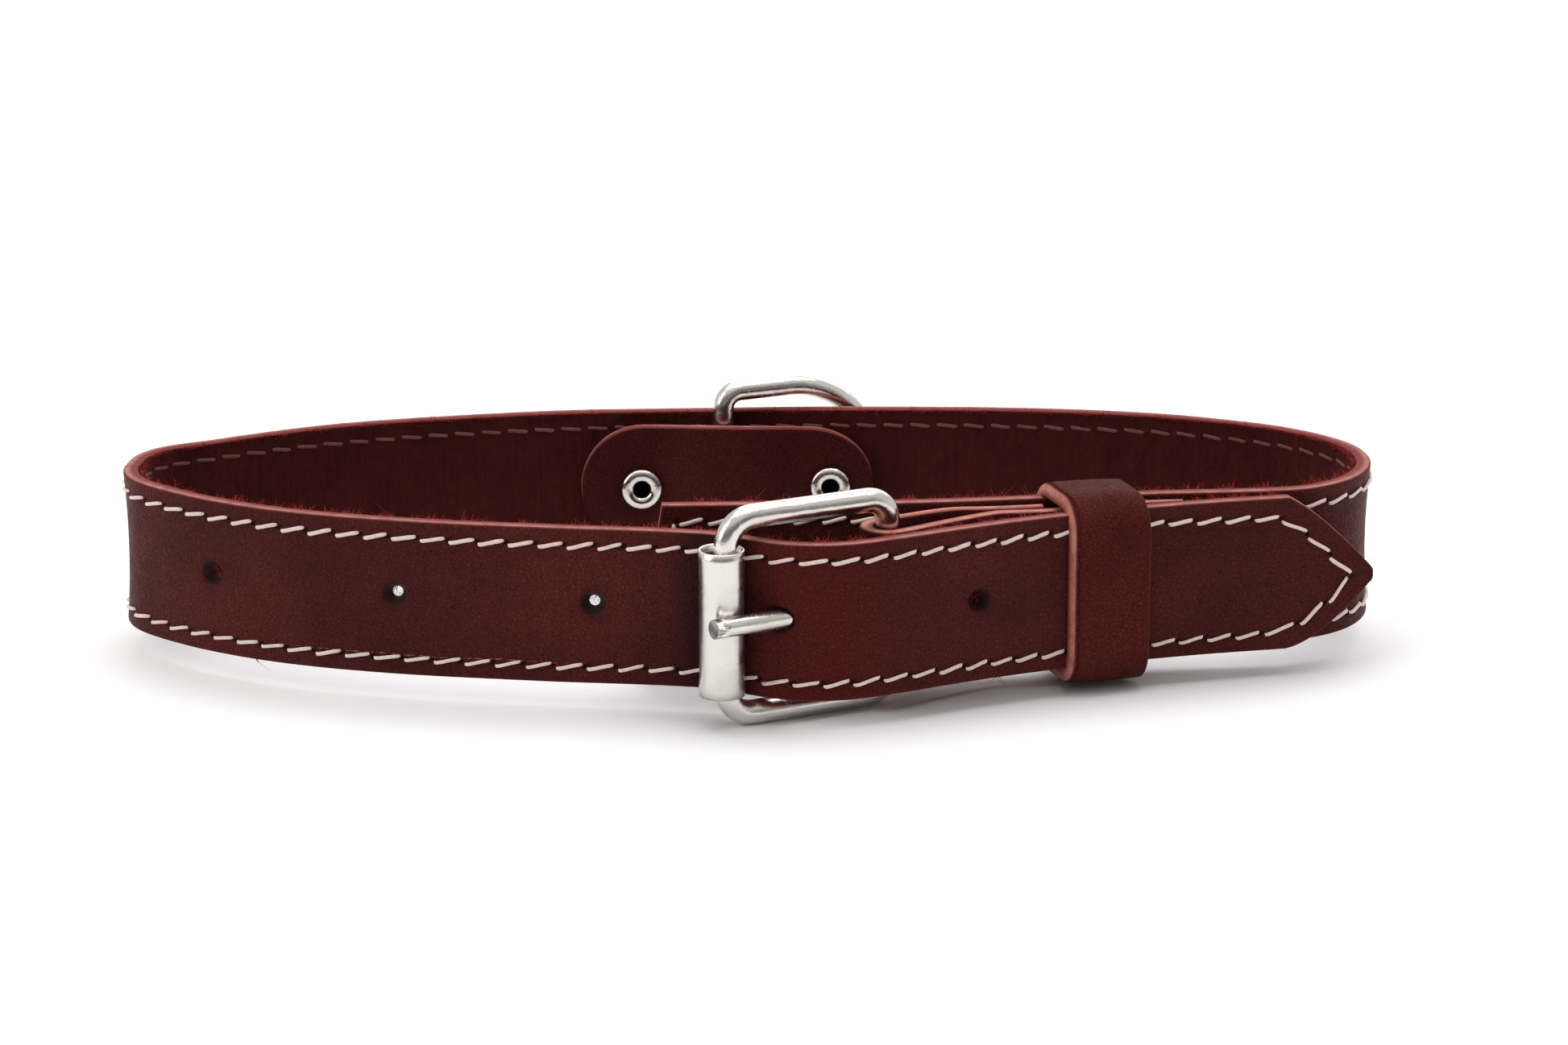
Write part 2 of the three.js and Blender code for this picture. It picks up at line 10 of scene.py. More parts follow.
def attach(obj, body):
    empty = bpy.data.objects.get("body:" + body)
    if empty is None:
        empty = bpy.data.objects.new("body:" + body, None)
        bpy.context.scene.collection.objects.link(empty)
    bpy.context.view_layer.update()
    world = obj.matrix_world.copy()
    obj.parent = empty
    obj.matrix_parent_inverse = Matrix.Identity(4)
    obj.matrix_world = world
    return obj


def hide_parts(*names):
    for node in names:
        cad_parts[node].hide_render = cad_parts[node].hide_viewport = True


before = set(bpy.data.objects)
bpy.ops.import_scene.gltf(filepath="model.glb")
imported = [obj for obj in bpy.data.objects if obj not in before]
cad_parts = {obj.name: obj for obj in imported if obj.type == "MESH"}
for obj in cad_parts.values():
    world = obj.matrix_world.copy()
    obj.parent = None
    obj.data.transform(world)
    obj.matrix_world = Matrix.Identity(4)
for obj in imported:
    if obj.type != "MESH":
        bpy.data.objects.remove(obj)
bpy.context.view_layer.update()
random.seed(11)

# Pieces are made in millimetres; finishPiece turns them into metres.
view = {"aim": (5.85, -28.17, 29.9), "distance": 825, "rise": 16.2, "lens": 120.25}

# The strap's way round the neck, seen from above: each stretch's length and how many degrees it turns left.
route = {
    "start": (-18.05, -18.173),
    "heading": 2,
    "stretches": [
        (39, 0.5), (25, 7.3), (28.6, -5.7), (12, 7), (12, 38.7), (12, 36.9), (13, 38.9), (15, 26.3),
        (23, 17.5), (40, 11.1), (46.4, 3.1), (45, 15.3), (20, 10.1), (12, 2.9), (10.6, 51.7), (2.8, 0),
        (10.6, 46.7), (14, 15.7), (25, 19.2), (40.8, 9.5), (17, -5.3), (7, -23.4), (9, 23.5), (11, 31.4),
        (10, 6.6), (16, -2.3), (20, -7.5), (20, -3.9), (21.8, -1.5),
    ],
}
strap = {
    "length": 578.6, "width": 25.5, "thickness": 2.5, "bottom": 4.65, "edgeRound": 0.45,
    "tipLength": 14.5, "tipNose": 2.0, "tipDrop": 1.0, "tipBulge": (1.1, 2.0), "shieldSlant": 9,
    "shieldBase": 15, "shieldReach": 14, "firstHole": 383.1, "holePitch": 31.9, "holeCount": 5, "holeRadius": 1.95,
    "holeRise": 0.5, "holeTaper": 1.1, "holeBlock": 3.1, "tongueHole": 3, "tongueHeading": 33, "lip": 0.95,
    "lipReach": 6.5, "rivets": (230.4, 262.6), "rivetHole": 2.3, "holeWearAndShadeReach": 1.3, "flare": 0.55, "ripple": 0.12,
    "crease": (469, 9),
}
middle = strap["bottom"] + strap["width"] / 2
punchHeight = middle + strap["holeRise"]
rimRows = [0, 0.09, 0.22, 0.45]


def unit(value):
    return min(max(value, 0), 1)


def heading2d(angle):
    return Vector((cos(angle), sin(angle)))


def arcEnd(start, heading, distance, turn):
    chord = distance if abs(turn) < 1e-9 else distance * sin(turn / 2) / (turn / 2)
    return start + heading2d(heading + turn / 2) * chord


def layOut():
    laid = []
    at = Vector(route["start"])
    heading = radians(route["heading"])
    station = 0.0
    for length, bend in route["stretches"]:
        laid.append((station, at, heading, length, radians(bend)))
        at = arcEnd(at, heading, length, radians(bend))
        heading += radians(bend)
        station += length
    return laid


laidStrap = layOut()
stretchStarts = [stretch[0] for stretch in laidStrap]


def strapAt(station):
    index = max(bisect_right(stretchStarts, station) - 1, 0)
    start, at, heading, length, bend = laidStrap[index]
    distance = station - start
    turn = bend * distance / length
    return arcEnd(at, heading, distance, turn), heading + turn


def outwards2d(heading):
    return Vector((sin(heading), -cos(heading)))


def beside(station, outwards):
    point, heading = strapAt(station)
    return point + outwards2d(heading) * outwards


# How sharply the strap bends around a station, from 0 to 1 at the tight ends.
def tightness(station):
    turn = strapAt(min(station + 8, strap["length"]))[1] - strapAt(max(station - 8, 0))[1]
    return unit((turn - 0.22) / 0.5)


# Moves everything that was made flat (along, inwards, up) onto the bent strap.
def wrapOnStrap(verts):
    for vert in verts:
        point = beside(vert.co.x, -vert.co.y)
        vert.co = (point.x, point.y, vert.co.z)


# How far the leather leans outwards at a flat point: rims that curl on the tight bends, and a soft ripple.
def sway(x, z, half):
    curl = strap["flare"] * tightness(x) * (((z - middle) / half) ** 2 - 0.3)
    return curl + noise.noise(Vector((x * 0.05, z * 0.06, 3))) * strap["ripple"]


def toMesh(bm, name):
    mesh = bpy.data.meshes.new(name)
    bm.to_mesh(mesh)
    bm.free()
    return mesh


def addObject(name, data):
    item = bpy.data.objects.new(name, data)
    bpy.context.scene.collection.objects.link(item)
    return item


def finishPiece(bm, name, body, coats, replaced=()):
    bmesh.ops.scale(bm, vec=(0.001, 0.001, 0.001), verts=bm.verts)
    mesh = toMesh(bm, name)
    mesh.shade_smooth()
    for coat in coats:
        mesh.materials.append(finishes[coat])
    piece = addObject(name, mesh)
    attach(piece, body)
    if replaced:
        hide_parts(*replaced)
    print("made", name, len(mesh.polygons), "faces")


# Adds a copy of a template mesh and gives its corners.
def addCopy(bm, template):
    count = len(bm.verts)
    bm.from_mesh(template)
    bm.verts.ensure_lookup_table()
    return bm.verts[count:]


# A sheet's rows: the fine ones of its rounded rims, the given distances in from both rims, and the middle.
def rowsAcross(half, further):
    inset = rimRows + further
    return [-half + d for d in inset] + [0] + [half - d for d in reversed(inset)]


def faceOutwards(bm):
    bmesh.ops.recalc_face_normals(bm, faces=bm.faces)


def centreOf(face):
    return face.calc_center_median()


# A sheet of quads standing in the x-z plane, with a line of corners at each column and row.
def flatSheet(columns, rows):
    bm = bmesh.new()
    across = len(columns) - 1
    up = len(rows) - 1
    bmesh.ops.create_grid(bm, x_segments=across, y_segments=up, size=0.5)
    for vert in bm.verts:
        column = round((vert.co.x + 0.5) * across)
        row = round((vert.co.y + 0.5) * up)
        vert.co = (columns[column], 0, rows[row])
    return bm


# Extrudes an open or closed line of edges, and gives the new corners and edges.
def drawOut(bm, edges):
    made = bmesh.ops.extrude_edge_only(bm, edges=edges)["geom"]
    corners = [item for item in made if isinstance(item, bmesh.types.BMVert)]
    found = set(corners)
    return corners, [e for e in made if isinstance(e, bmesh.types.BMEdge) and set(e.verts) <= found]


# Opens a block of the sheet and draws its border in to a round or oval hole.
def punchHole(bm, x, z, block, radii, rim=0.4):
    doomed = [f for f in bm.faces if abs(centreOf(f).x - x) < block[0] and abs(centreOf(f).z - z) < block[1]]
    inside = set(doomed)
    border = [e for e in {e for f in doomed for e in f.edges}
              if len(e.link_faces) == 2 and sum(f in inside for f in e.link_faces) == 1]
    bmesh.ops.delete(bm, geom=doomed, context="FACES")
    for grow in (1.6 * rim, 0.8 * rim, 0.35 * rim, 0.1 * rim, 0):
        ring, border = drawOut(bm, border)
        for vert in ring:
            angle = atan2(vert.co.z - z, vert.co.x - x)
            vert.co.x = x + (radii[0] + grow) * cos(angle)
            vert.co.z = z + (radii[1] + grow) * sin(angle)


# Gives the flat sheet its thickness, with rounded rims, and marks outside, cut edge and flesh side.
def thicken(bm, thickness, rim, rimDistance, step=1.0):
    bm.normal_update()
    bmesh.ops.solidify(bm, geom=bm.faces[:], thickness=thickness)
    depth = bm.verts.layers.float.new("depth")
    for vert in bm.verts:
        inner = abs(vert.co.y) > thickness / 2
        away = unit(rimDistance(vert.co.x, vert.co.z) / rim)
        half = thickness / 2 - rim * (1 - sqrt(1 - (1 - away) ** 2))
        vert.co.y = half if inner else -half
        vert[depth] = 0.5 + vert.co.y / thickness
    faceOutwards(bm)
    sheet = bm.loops.layers.uv.new("flat")
    for face in bm.faces:
        face.normal_update()
        face.material_index = 0 if face.normal.y < -0.82 else (2 if face.normal.y > 0.72 else 1)
        for loop in face.loops:
            loop[sheet].uv = (loop.vert.co.x * step * 0.001, loop.vert.co.z * 0.001)


# Draws a round wire along a path of points. A closed path ends on its first point.
def drawWire(bm, path, radius, sides, closed=False):
    count = len(path)
    tangents = []
    for i in range(count):
        before = path[i - 1] if i > 0 else (path[-2] if closed else path[0])
        after = path[i + 1] if i < count - 1 else (path[1] if closed else path[-1])
        tangents.append((after - before).normalized())
    normal = tangents[0].orthogonal().normalized()
    frames = []
    for i in range(count):
        normal = (normal - tangents[i] * normal.dot(tangents[i])).normalized()
        side = tangents[i].cross(normal)
        turned = Matrix((normal, side, tangents[i])).transposed().to_4x4()
        frames.append(Matrix.Translation(path[i]) @ turned)
    start = bmesh.ops.create_circle(bm, segments=sides, radius=radius, matrix=frames[0])["verts"]
    ring = list(start)
    firstEdges = list({e for v in ring for e in v.link_edges})
    edges = firstEdges
    for i in range(1, count):
        ring, edges = drawOut(bm, edges)
        bmesh.ops.transform(bm, matrix=frames[i] @ frames[i - 1].inverted(), verts=ring)
    if closed:
        bmesh.ops.remove_doubles(bm, verts=list(start) + ring, dist=0.02)
    else:
        bmesh.ops.contextual_create(bm, geom=firstEdges)
        bmesh.ops.contextual_create(bm, geom=edges)
    faceOutwards(bm)


def arcPoints(centre, radius, fromAngle, toAngle, steps):
    return [centre + heading2d(fromAngle + (toAngle - fromAngle) * i / steps) * radius for i in range(steps + 1)]


# Turns a profile of (radius, height) round the z axis.
def turnProfile(profile, steps):
    bm = bmesh.new()
    verts = [bm.verts.new((radius, 0, height)) for radius, height in profile]
    edges = [bm.edges.new(pair) for pair in zip(verts, verts[1:])]
    bmesh.ops.spin(bm, geom=verts + edges, cent=(0, 0, 0), axis=(0, 0, 1), angle=2 * pi, steps=steps, use_merge=True)
    bmesh.ops.remove_doubles(bm, verts=bm.verts, dist=0.001)
    faceOutwards(bm)
    return bm


# Materials: small helpers, the shared effects, then one finish after the other.
def put(tree, kind, inputs=None, **settings):
    node = tree.nodes.new("ShaderNode" + kind)
    for name, value in settings.items():
        setattr(node, name, value)
    for name, value in (inputs or {}).items():
        if isinstance(value, bpy.types.NodeSocket):
            tree.links.new(value, node.inputs[name])
        else:
            node.inputs[name].default_value = value
    return node


def calc(tree, operation, *values):
    return put(tree, "Math", dict(enumerate(values)), operation=operation).outputs[0]


def scaled(tree, value, share):
    return calc(tree, "MULTIPLY", value, share)


def remap(tree, value, low, high):
    settings = {"Value": value, "From Min": low, "From Max": high}
    return put(tree, "MapRange", settings, interpolation_type="SMOOTHSTEP").outputs["Result"]


# How near a value lies to a place: 1 within the second distance of it, 0 beyond the first.
def nearness(tree, value, place, far, close):
    return remap(tree, calc(tree, "ABSOLUTE", calc(tree, "SUBTRACT", value, place)), far, close)


def objectPlace(tree):
    return put(tree, "TexCoord").outputs["Object"]


def flatPlace(tree):
    return put(tree, "UVMap", uv_map="flat").outputs[0]


def painted(tree, name):
    return put(tree, "Attribute", attribute_name=name).outputs["Fac"]


def noiseOver(tree, place, **settings):
    return put(tree, "TexNoise", {"Vector": place, **settings}).outputs["Fac"]


def blend(tree, share, first, second):
    return put(tree, "Mix", {0: share, 6: first, 7: second}, data_type="RGBA").outputs[2]


def colour(red, green, blue):
    return (red, green, blue, 1)


def startGroup(name, inputs, outputs):
    group = bpy.data.node_groups.new(name, "ShaderNodeTree")
    for label, kind, value in inputs:
        socket = group.interface.new_socket(name=label, in_out="INPUT", socket_type="NodeSocket" + kind)
        if value is not None:
            socket.default_value = value
    for label in outputs:
        group.interface.new_socket(name=label, in_out="OUTPUT", socket_type="NodeSocketFloat")
    return group, group.nodes.new("NodeGroupInput").outputs, group.nodes.new("NodeGroupOutput").inputs


def makeGrain():
    group, given, out = startGroup(
        "leatherGrain", [("Place", "Vector", None), ("Grain mm", "Float", 0.5)], ["Height", "Pores"])
    scale = calc(group, "DIVIDE", 1000, given["Grain mm"])
    cells = put(group, "TexVoronoi", {"Vector": given["Place"], "Scale": scale}, feature="DISTANCE_TO_EDGE")
    fine = noiseOver(group, given["Place"], Scale=scaled(group, scale, 2.3), Detail=3)
    pebble = remap(group, cells.outputs["Distance"], 0.0, 0.35)
    group.links.new(calc(group, "ADD", scaled(group, pebble, 0.6), scaled(group, fine, 0.4)), out["Height"])
    group.links.new(remap(group, fine, 0.52, 0.72), out["Pores"])
    return group


def makeDrift():
    group, given, out = startGroup(
        "toneDrift", [("Place", "Vector", None), ("Patch mm", "Float", 14.0)], ["Tone", "Speckle"])
    scale = calc(group, "DIVIDE", 1000, given["Patch mm"])
    broad = noiseOver(group, given["Place"], Scale=scale, Detail=4, Roughness=0.55)
    small = noiseOver(group, given["Place"], Scale=scaled(group, scale, 14), Detail=2)
    group.links.new(remap(group, broad, 0.3, 0.7), out["Tone"])
    group.links.new(remap(group, small, 0.4, 0.7), out["Speckle"])
    return group


def makeFibres():
    group, given, out = startGroup("cutFibres", [("Place", "Vector", None)], ["Height", "Tuft"])
    tuft = noiseOver(group, given["Place"], Scale=420, Detail=4, Roughness=0.65)
    group.links.new(noiseOver(group, given["Place"], Scale=2600, Detail=3, Roughness=0.7), out["Height"])
    group.links.new(remap(group, tuft, 0.38, 0.66), out["Tuft"])
    return group


def makeMarks():
    group, given, out = startGroup(
        "handlingMarks", [("Place", "Vector", None), ("Stretch", "Vector", (1, 1, 1))], ["Hairlines", "Smudge"])
    drawn = put(group, "VectorMath", {0: given["Place"], 1: given["Stretch"]}, operation="MULTIPLY").outputs[0]
    hair = noiseOver(group, drawn, Scale=900, Detail=3, Roughness=0.6)
    smudge = noiseOver(group, given["Place"], Scale=110, Detail=5, Roughness=0.6)
    group.links.new(remap(group, hair, 0.56, 0.72), out["Hairlines"])
    group.links.new(remap(group, smudge, 0.35, 0.7), out["Smudge"])
    return group


def makeTwist():
    group, given, out = startGroup("threadTwist", [("Thread", "Vector", None)], ["Height"])
    split = put(group, "SeparateXYZ", {0: given["Thread"]})
    turns = calc(group, "ADD", scaled(group, split.outputs[0], 8.5), split.outputs[1])
    wave = calc(group, "SINE", scaled(group, turns, 2 * pi * 2))
    group.links.new(calc(group, "MULTIPLY_ADD", wave, 0.5, 0.5), out["Height"])
    return group


effects = {
    "grain": makeGrain(), "drift": makeDrift(), "fibres": makeFibres(), "marks": makeMarks(), "twist": makeTwist(),
}


def useEffect(tree, name, **inputs):
    node = tree.nodes.new("ShaderNodeGroup")
    node.node_tree = effects[name]
    for label, value in inputs.items():
        socket = node.inputs[label.replace("_", " ")]
        if isinstance(value, bpy.types.NodeSocket):
            tree.links.new(value, socket)
        else:
            socket.default_value = value
    return node.outputs


def startMaterial(name, **fixed):
    material = bpy.data.materials.new(name)
    material.use_nodes = True
    tree = material.node_tree
    shader = tree.nodes["Principled BSDF"]
    for label, value in fixed.items():
        shader.inputs[label.replace("_", " ")].default_value = value
    return material, tree, shader


# Gives a shader its colour, the layers of its relief and, where it varies, its roughness.
def dress(tree, shader, skin, layers, rough=None):
    tree.links.new(skin, shader.inputs["Base Color"])
    if rough:
        tree.links.new(rough, shader.inputs["Roughness"])
    normal = None
    for height, distance in layers:
        bump = put(tree, "Bump", {"Height": height, "Distance": distance, "Strength": 1.0})
        if normal:
            tree.links.new(normal, bump.inputs["Normal"])
        normal = bump.outputs["Normal"]
    if normal:
        tree.links.new(normal, shader.inputs["Normal"])


# The darkest colour serves both the grain's pores and the painted shade at the roller.
leather = {
    "dark": colour(0.075, 0.0127, 0.0106), "light": colour(0.11, 0.019, 0.016), "warm": colour(0.11, 0.0092, 0.0071),
    "poresAndPaintedShade": colour(0.012, 0.0035, 0.003), "rubbed": colour(0.07, 0.008, 0.007),
    "scratched": colour(0.3, 0.16, 0.14), "grain": 0.7, "grainHeight": 0.00012, "pits": 0.6, "pores": 0.55,
    "patch": 20, "roughness": 0.44, "specular": 0.05,
    "stretchedAt": 484, "shadedAt": 467, "scratch": {"height": 7.6, "from": (394, 402), "to": (446, 436)},
}


# Darkens the skin in the pits and pores of its grain.
def addGrain(tree, skin, grain):
    pits = calc(tree, "SUBTRACT", 1.0, grain["Height"])
    share = calc(tree, "MULTIPLY_ADD", pits, leather["pits"], scaled(tree, grain["Pores"], leather["pores"]))
    return blend(tree, share, skin, leather["poresAndPaintedShade"])


# What both grain sides start from: their grain, their drifting colour and their roughness.
def startLeather(name, lift=1.0, shine=1.0):
    material, tree, shader = startMaterial(name, Specular_IOR_Level=leather["specular"] * shine)
    place = objectPlace(tree)
    grain = useEffect(tree, "grain", Place=place, Grain_mm=leather["grain"])
    drift = useEffect(tree, "drift", Place=place, Patch_mm=leather["patch"])
    dark, light = (tuple(min(c * lift, 1) for c in leather[tone]) for tone in ("dark", "light"))
    rough = calc(tree, "MULTIPLY_ADD", drift["Speckle"], 0.1, leather["roughness"])
    return material, tree, shader, grain, blend(tree, drift["Tone"], dark, light), rough


# The plain grain side, for the keeper, the patch and the folded tab.
def makeGrainSide(name, wrinkle=0.0, lift=1.0, shine=1.0):
    material, tree, shader, grain, skin, rough = startLeather(name, lift, shine)
    layers = [(grain["Height"], leather["grainHeight"])]
    if wrinkle:
        folds = put(tree, "Mapping", {"Vector": flatPlace(tree), "Scale": (330, 1700, 1)})
        folded = noiseOver(tree, folds.outputs[0], Scale=1, Detail=3, Distortion=0.3)
        layers.append((calc(tree, "MULTIPLY", folded, painted(tree, "bent")), wrinkle))
    dress(tree, shader, addGrain(tree, skin, grain), layers, rough)
    return material


# The strap's own grain side: red where it was stretched, painted shade at the roller and in the needle holes, with
# creases and a pale scratch.
def makeStrapSide():
    material, tree, shader, grain, skin, rough = startLeather("strapGrainSide")
    split = put(tree, "SeparateXYZ", {0: flatPlace(tree)})
    along = scaled(tree, split.outputs[0], 1000)
    up = scaled(tree, split.outputs[1], 1000)
    stretched = nearness(tree, along, leather["stretchedAt"], 15, 2)
    skin = blend(tree, scaled(tree, stretched, 0.75), skin, leather["warm"])
    # painted shade on the leather between the roller and the tongue hole, blended towards the darkest colour
    shaded = nearness(tree, along, leather["shadedAt"], 9, 3)
    skin = blend(tree, scaled(tree, shaded, 0.75), skin, leather["poresAndPaintedShade"])
    # rubbed wear around the holes on the grain side
    skin = blend(tree, scaled(tree, painted(tree, "holeWearAndShade"), 0.5), skin, leather["rubbed"])
    # painted shade: near black in each needle hole beside the thread
    skin = blend(tree, remap(tree, painted(tree, "needle"), 0.35, 0.85), skin, colour(0.002, 0.001, 0.001))
    skin = addGrain(tree, skin, grain)
    # a scratch low on the front, broken where it was lighter
    scratch = leather["scratch"]
    onlyAlong = put(tree, "CombineXYZ", {0: along}).outputs[0]
    path = noiseOver(tree, onlyAlong, Scale=0.11, Detail=2)
    wander = calc(tree, "MULTIPLY_ADD", path, 0.9, scratch["height"])
    near = nearness(tree, up, wander, 0.13, 0.02)
    dashes = remap(tree, noiseOver(tree, onlyAlong, Scale=0.9, Detail=3), 0.44, 0.6)
    reach = calc(tree, "MULTIPLY", remap(tree, along, *scratch["from"]), remap(tree, along, *scratch["to"]))
    line = calc(tree, "MULTIPLY", calc(tree, "MULTIPLY", near, reach), dashes)
    skin = blend(tree, scaled(tree, line, 0.8), skin, leather["scratched"])
    rough = calc(tree, "SUBTRACT", rough, scaled(tree, stretched, 0.08))
    # creases across the strap where it bends hard, and a few long lines along it
    squeezed = put(tree, "CombineXYZ", {0: along, 1: scaled(tree, up, 0.3)}).outputs[0]
    across = noiseOver(tree, squeezed, Scale=1.3, Detail=3, Distortion=0.4)
    creases = calc(tree, "MULTIPLY", across, painted(tree, "bent"))
    drawnOut = put(tree, "CombineXYZ", {0: scaled(tree, along, 0.03), 1: up}).outputs[0]
    lines = noiseOver(tree, drawnOut, Scale=0.55, Detail=4)
    layers = [(grain["Height"], leather["grainHeight"]), (creases, 0.00022), (lines, 0.00018)]
    dress(tree, shader, skin, layers, rough)
    return material


# A cut edge: pale leather under the grain side, red towards the flesh side from the given share of its depth on.
def makeCutEdge(name, pale, red, share):
    material, tree, shader = startMaterial(name, Specular_IOR_Level=0.2, Roughness=0.75)
    fibres = useEffect(tree, "fibres", Place=objectPlace(tree))
    depth = painted(tree, "depth")
    edge = blend(tree, remap(tree, depth, share - 0.2, share + 0.2), pale, red)
    edge = blend(tree, scaled(tree, fibres["Tuft"], 0.5), edge, red)
    edge = blend(tree, remap(tree, depth, 0.16, 0.04), edge, leather["light"])
    # painted shade: the cut walls inside the holes are made nearly black
    edge = blend(tree, painted(tree, "holeWearAndShade"), edge, colour(0.03, 0.008, 0.007))
    dress(tree, shader, edge, [(fibres["Height"], 0.00006), (fibres["Tuft"], 0.0001)])
    return material


def makeFlesh(name, dark, light, brushed=False):
    material, tree, shader = startMaterial(name, Specular_IOR_Level=0.1, Roughness=0.95, Sheen_Weight=0.12)
    shader.inputs["Sheen Tint"].default_value = colour(0.5, 0.1, 0.09)
    place = objectPlace(tree)
    fibres = useEffect(tree, "fibres", Place=place)
    drift = useEffect(tree, "drift", Place=place, Patch_mm=9)
    tone = calc(tree, "MULTIPLY_ADD", drift["Tone"], 0.45, 0.3)
    if brushed:  # the nap lies in fine upright streaks
        drawn = put(tree, "Mapping", {"Vector": flatPlace(tree), "Scale": (2200, 110, 1)})
        streaks = noiseOver(tree, drawn.outputs[0], Scale=1, Detail=4, Roughness=0.6)
        tone = calc(tree, "MULTIPLY_ADD", remap(tree, streaks, 0.3, 0.7), 0.4, scaled(tree, tone, 0.7))
    nap = blend(tree, tone, dark, light)
    nap = blend(tree, scaled(tree, fibres["Tuft"], 0.3), nap, dark)
    dress(tree, shader, nap, [(fibres["Height"], 0.00012), (fibres["Tuft"], 0.0002)])
    return material


def makeThread(name, base, shade):
    material, tree, shader = startMaterial(name, Specular_IOR_Level=0.3, Roughness=0.55)
    twist = useEffect(tree, "twist", Thread=flatPlace(tree))
    drift = useEffect(tree, "drift", Place=objectPlace(tree), Patch_mm=6)
    # painted shade in the grooves between the twists; the speckle below darkens the thread at random
    strand = blend(tree, scaled(tree, calc(tree, "SUBTRACT", 1.0, twist["Height"]), 0.6), base, shade)
    strand = blend(tree, scaled(tree, drift["Speckle"], 0.3), strand, shade)
    dress(tree, shader, strand, [(twist["Height"], 0.00009)])
    return material


nickel = {"bright": colour(0.72, 0.685, 0.64), "dull": colour(0.56, 0.52, 0.475), "roughness": 0.16, "haze": 0.14}


# Nickel plate. Its hairlines are drawn out along the axis where the stretch is below one.
def makeNickel(name, stretch, haze=nickel["haze"], roughness=nickel["roughness"]):
    material, tree, shader = startMaterial(name, Metallic=1.0)
    marks = useEffect(tree, "marks", Place=objectPlace(tree), Stretch=stretch)
    plate = blend(tree, scaled(tree, marks["Smudge"], 0.5), nickel["bright"], nickel["dull"])
    clouded = calc(tree, "ADD", scaled(tree, marks["Smudge"], haze), roughness)
    rough = calc(tree, "ADD", clouded, scaled(tree, marks["Hairlines"], 0.1))
    dress(tree, shader, plate, [(marks["Hairlines"], 0.000012), (marks["Smudge"], 0.00006)], rough)
    return material


def makeSawnFace(name, light, dark):
    material, tree, shader = startMaterial(name, Metallic=0.85, Roughness=0.6)
    fibres = useEffect(tree, "fibres", Place=objectPlace(tree))
    dress(tree, shader, blend(tree, fibres["Tuft"], light, dark), [(fibres["Height"], 0.00018)])
    return material


finishes = {
    "strap": makeStrapSide(),
    "keeper": makeGrainSide("keeperGrainSide", wrinkle=0.0004, lift=1.12, shine=0.35),
    "patch": makeGrainSide("patchGrainSide", lift=0.72, shine=0.6),
    "chape": makeGrainSide("foldedTabGrainSide", shine=0.6),
    "strapEdge": makeCutEdge("strapCutEdge", colour(0.36, 0.15, 0.125), colour(0.15, 0.022, 0.02), 0.45),
    "tanEdge": makeCutEdge("keeperCutEdge", colour(0.48, 0.2, 0.15), colour(0.22, 0.05, 0.04), 0.62),
    "flesh": makeFlesh("fleshSide", colour(0.024, 0.0038, 0.0034), colour(0.066, 0.0085, 0.0078), brushed=True),
    "fuzz": makeFlesh("looseFibres", colour(0.24, 0.02, 0.016), colour(0.5, 0.05, 0.04)),
    "thread": makeThread("creamThread", colour(1.0, 0.86, 0.79), colour(0.7, 0.48, 0.4)),
    # the thread on the flesh side is stained by the leather and also darkened as painted shade
    "fleshThread": makeThread("stainedAndShadedThread", colour(0.23, 0.1, 0.068), colour(0.09, 0.034, 0.024)),
    "nickel": makeNickel("polishedNickel", (1, 1, 0.25)),
    "rollerNickel": makeNickel("rolledNickel", (1, 1, 0.12), 0.14, 0.24),
    "rivetNickel": makeNickel("rivetNickel", (1, 1, 1), 0.18),
    "sawn": makeSawnFace("sawnMetal", colour(0.42, 0.41, 0.4), colour(0.16, 0.155, 0.15)),
    # painted shade: the walls and floor inside the rivet's bore are nearly black
    "bore": makeSawnFace("rivetBoreShade", colour(0.03, 0.028, 0.026), colour(0.012, 0.011, 0.01)),
}
print("finishes ready")


# Where the strap's slanted end lies at a height.
def shieldEdge(z):
    return (z - middle + strap["shieldBase"]) * tan(radians(strap["shieldSlant"]))


# Half the tip's height above or below its line: a bulged slant that ends in a round nose.
def tipHalf(x, upper):
    corner = strap["length"] - strap["tipLength"]
    if x <= corner:
        return strap["width"] / 2
    nose = strap["tipNose"]
    slant = atan2(strap["width"] / 2, strap["tipLength"] + 0.5 * nose)
    shoulder = strap["length"] - nose * (1 - sin(slant))
    if x < shoulder:
        t = (x - corner) / (shoulder - corner)
        bulge = strap["tipBulge"][0 if upper else 1]
        return strap["width"] / 2 * (1 - t) + nose * cos(slant) * t + 4 * bulge * t * (1 - t) * (1 - 0.35 * t)
    return sqrt(max(nose * nose - (x - strap["length"] + nose) ** 2, 0.04))


# How far the tip's line has dropped at a station.
def tipDropAt(x):
    return strap["tipDrop"] * unit((x - strap["length"] + strap["tipLength"]) / strap["tipLength"])


tongueStation = strap["firstHole"] + strap["tongueHole"] * strap["holePitch"]
tongueAngle = radians(strap["tongueHeading"]) - strapAt(tongueStation)[1] + 2 * pi
tongueShift = strap["thickness"] / tan(tongueAngle)
tongueMouth = (tongueStation - 0.4 / tan(tongueAngle) - 0.7, punchHeight)
tongueOval = (2.3, 2.0)


# The strap's openings: first the four open holes, then the tongue's, then the two for the rivets.
def strapHoles():
    holes = []
    for i in range(strap["holeCount"]):
        if i != strap["tongueHole"]:
            radius = strap["holeRadius"]
            holes.append((strap["firstHole"] + i * strap["holePitch"], punchHeight, radius, radius))
    holes.append((*tongueMouth, *tongueOval))
    for station in strap["rivets"]:
        holes.append((station, middle, strap["rivetHole"], strap["rivetHole"]))
    return holes


# How far a flat point is from the nearest hole's rim.
def holeDistance(holes, x, z):
    return min((sqrt(((x - hx) / rx) ** 2 + ((z - hz) / rz) ** 2) - 1) * min(rx, rz) for hx, hz, rx, rz in holes)


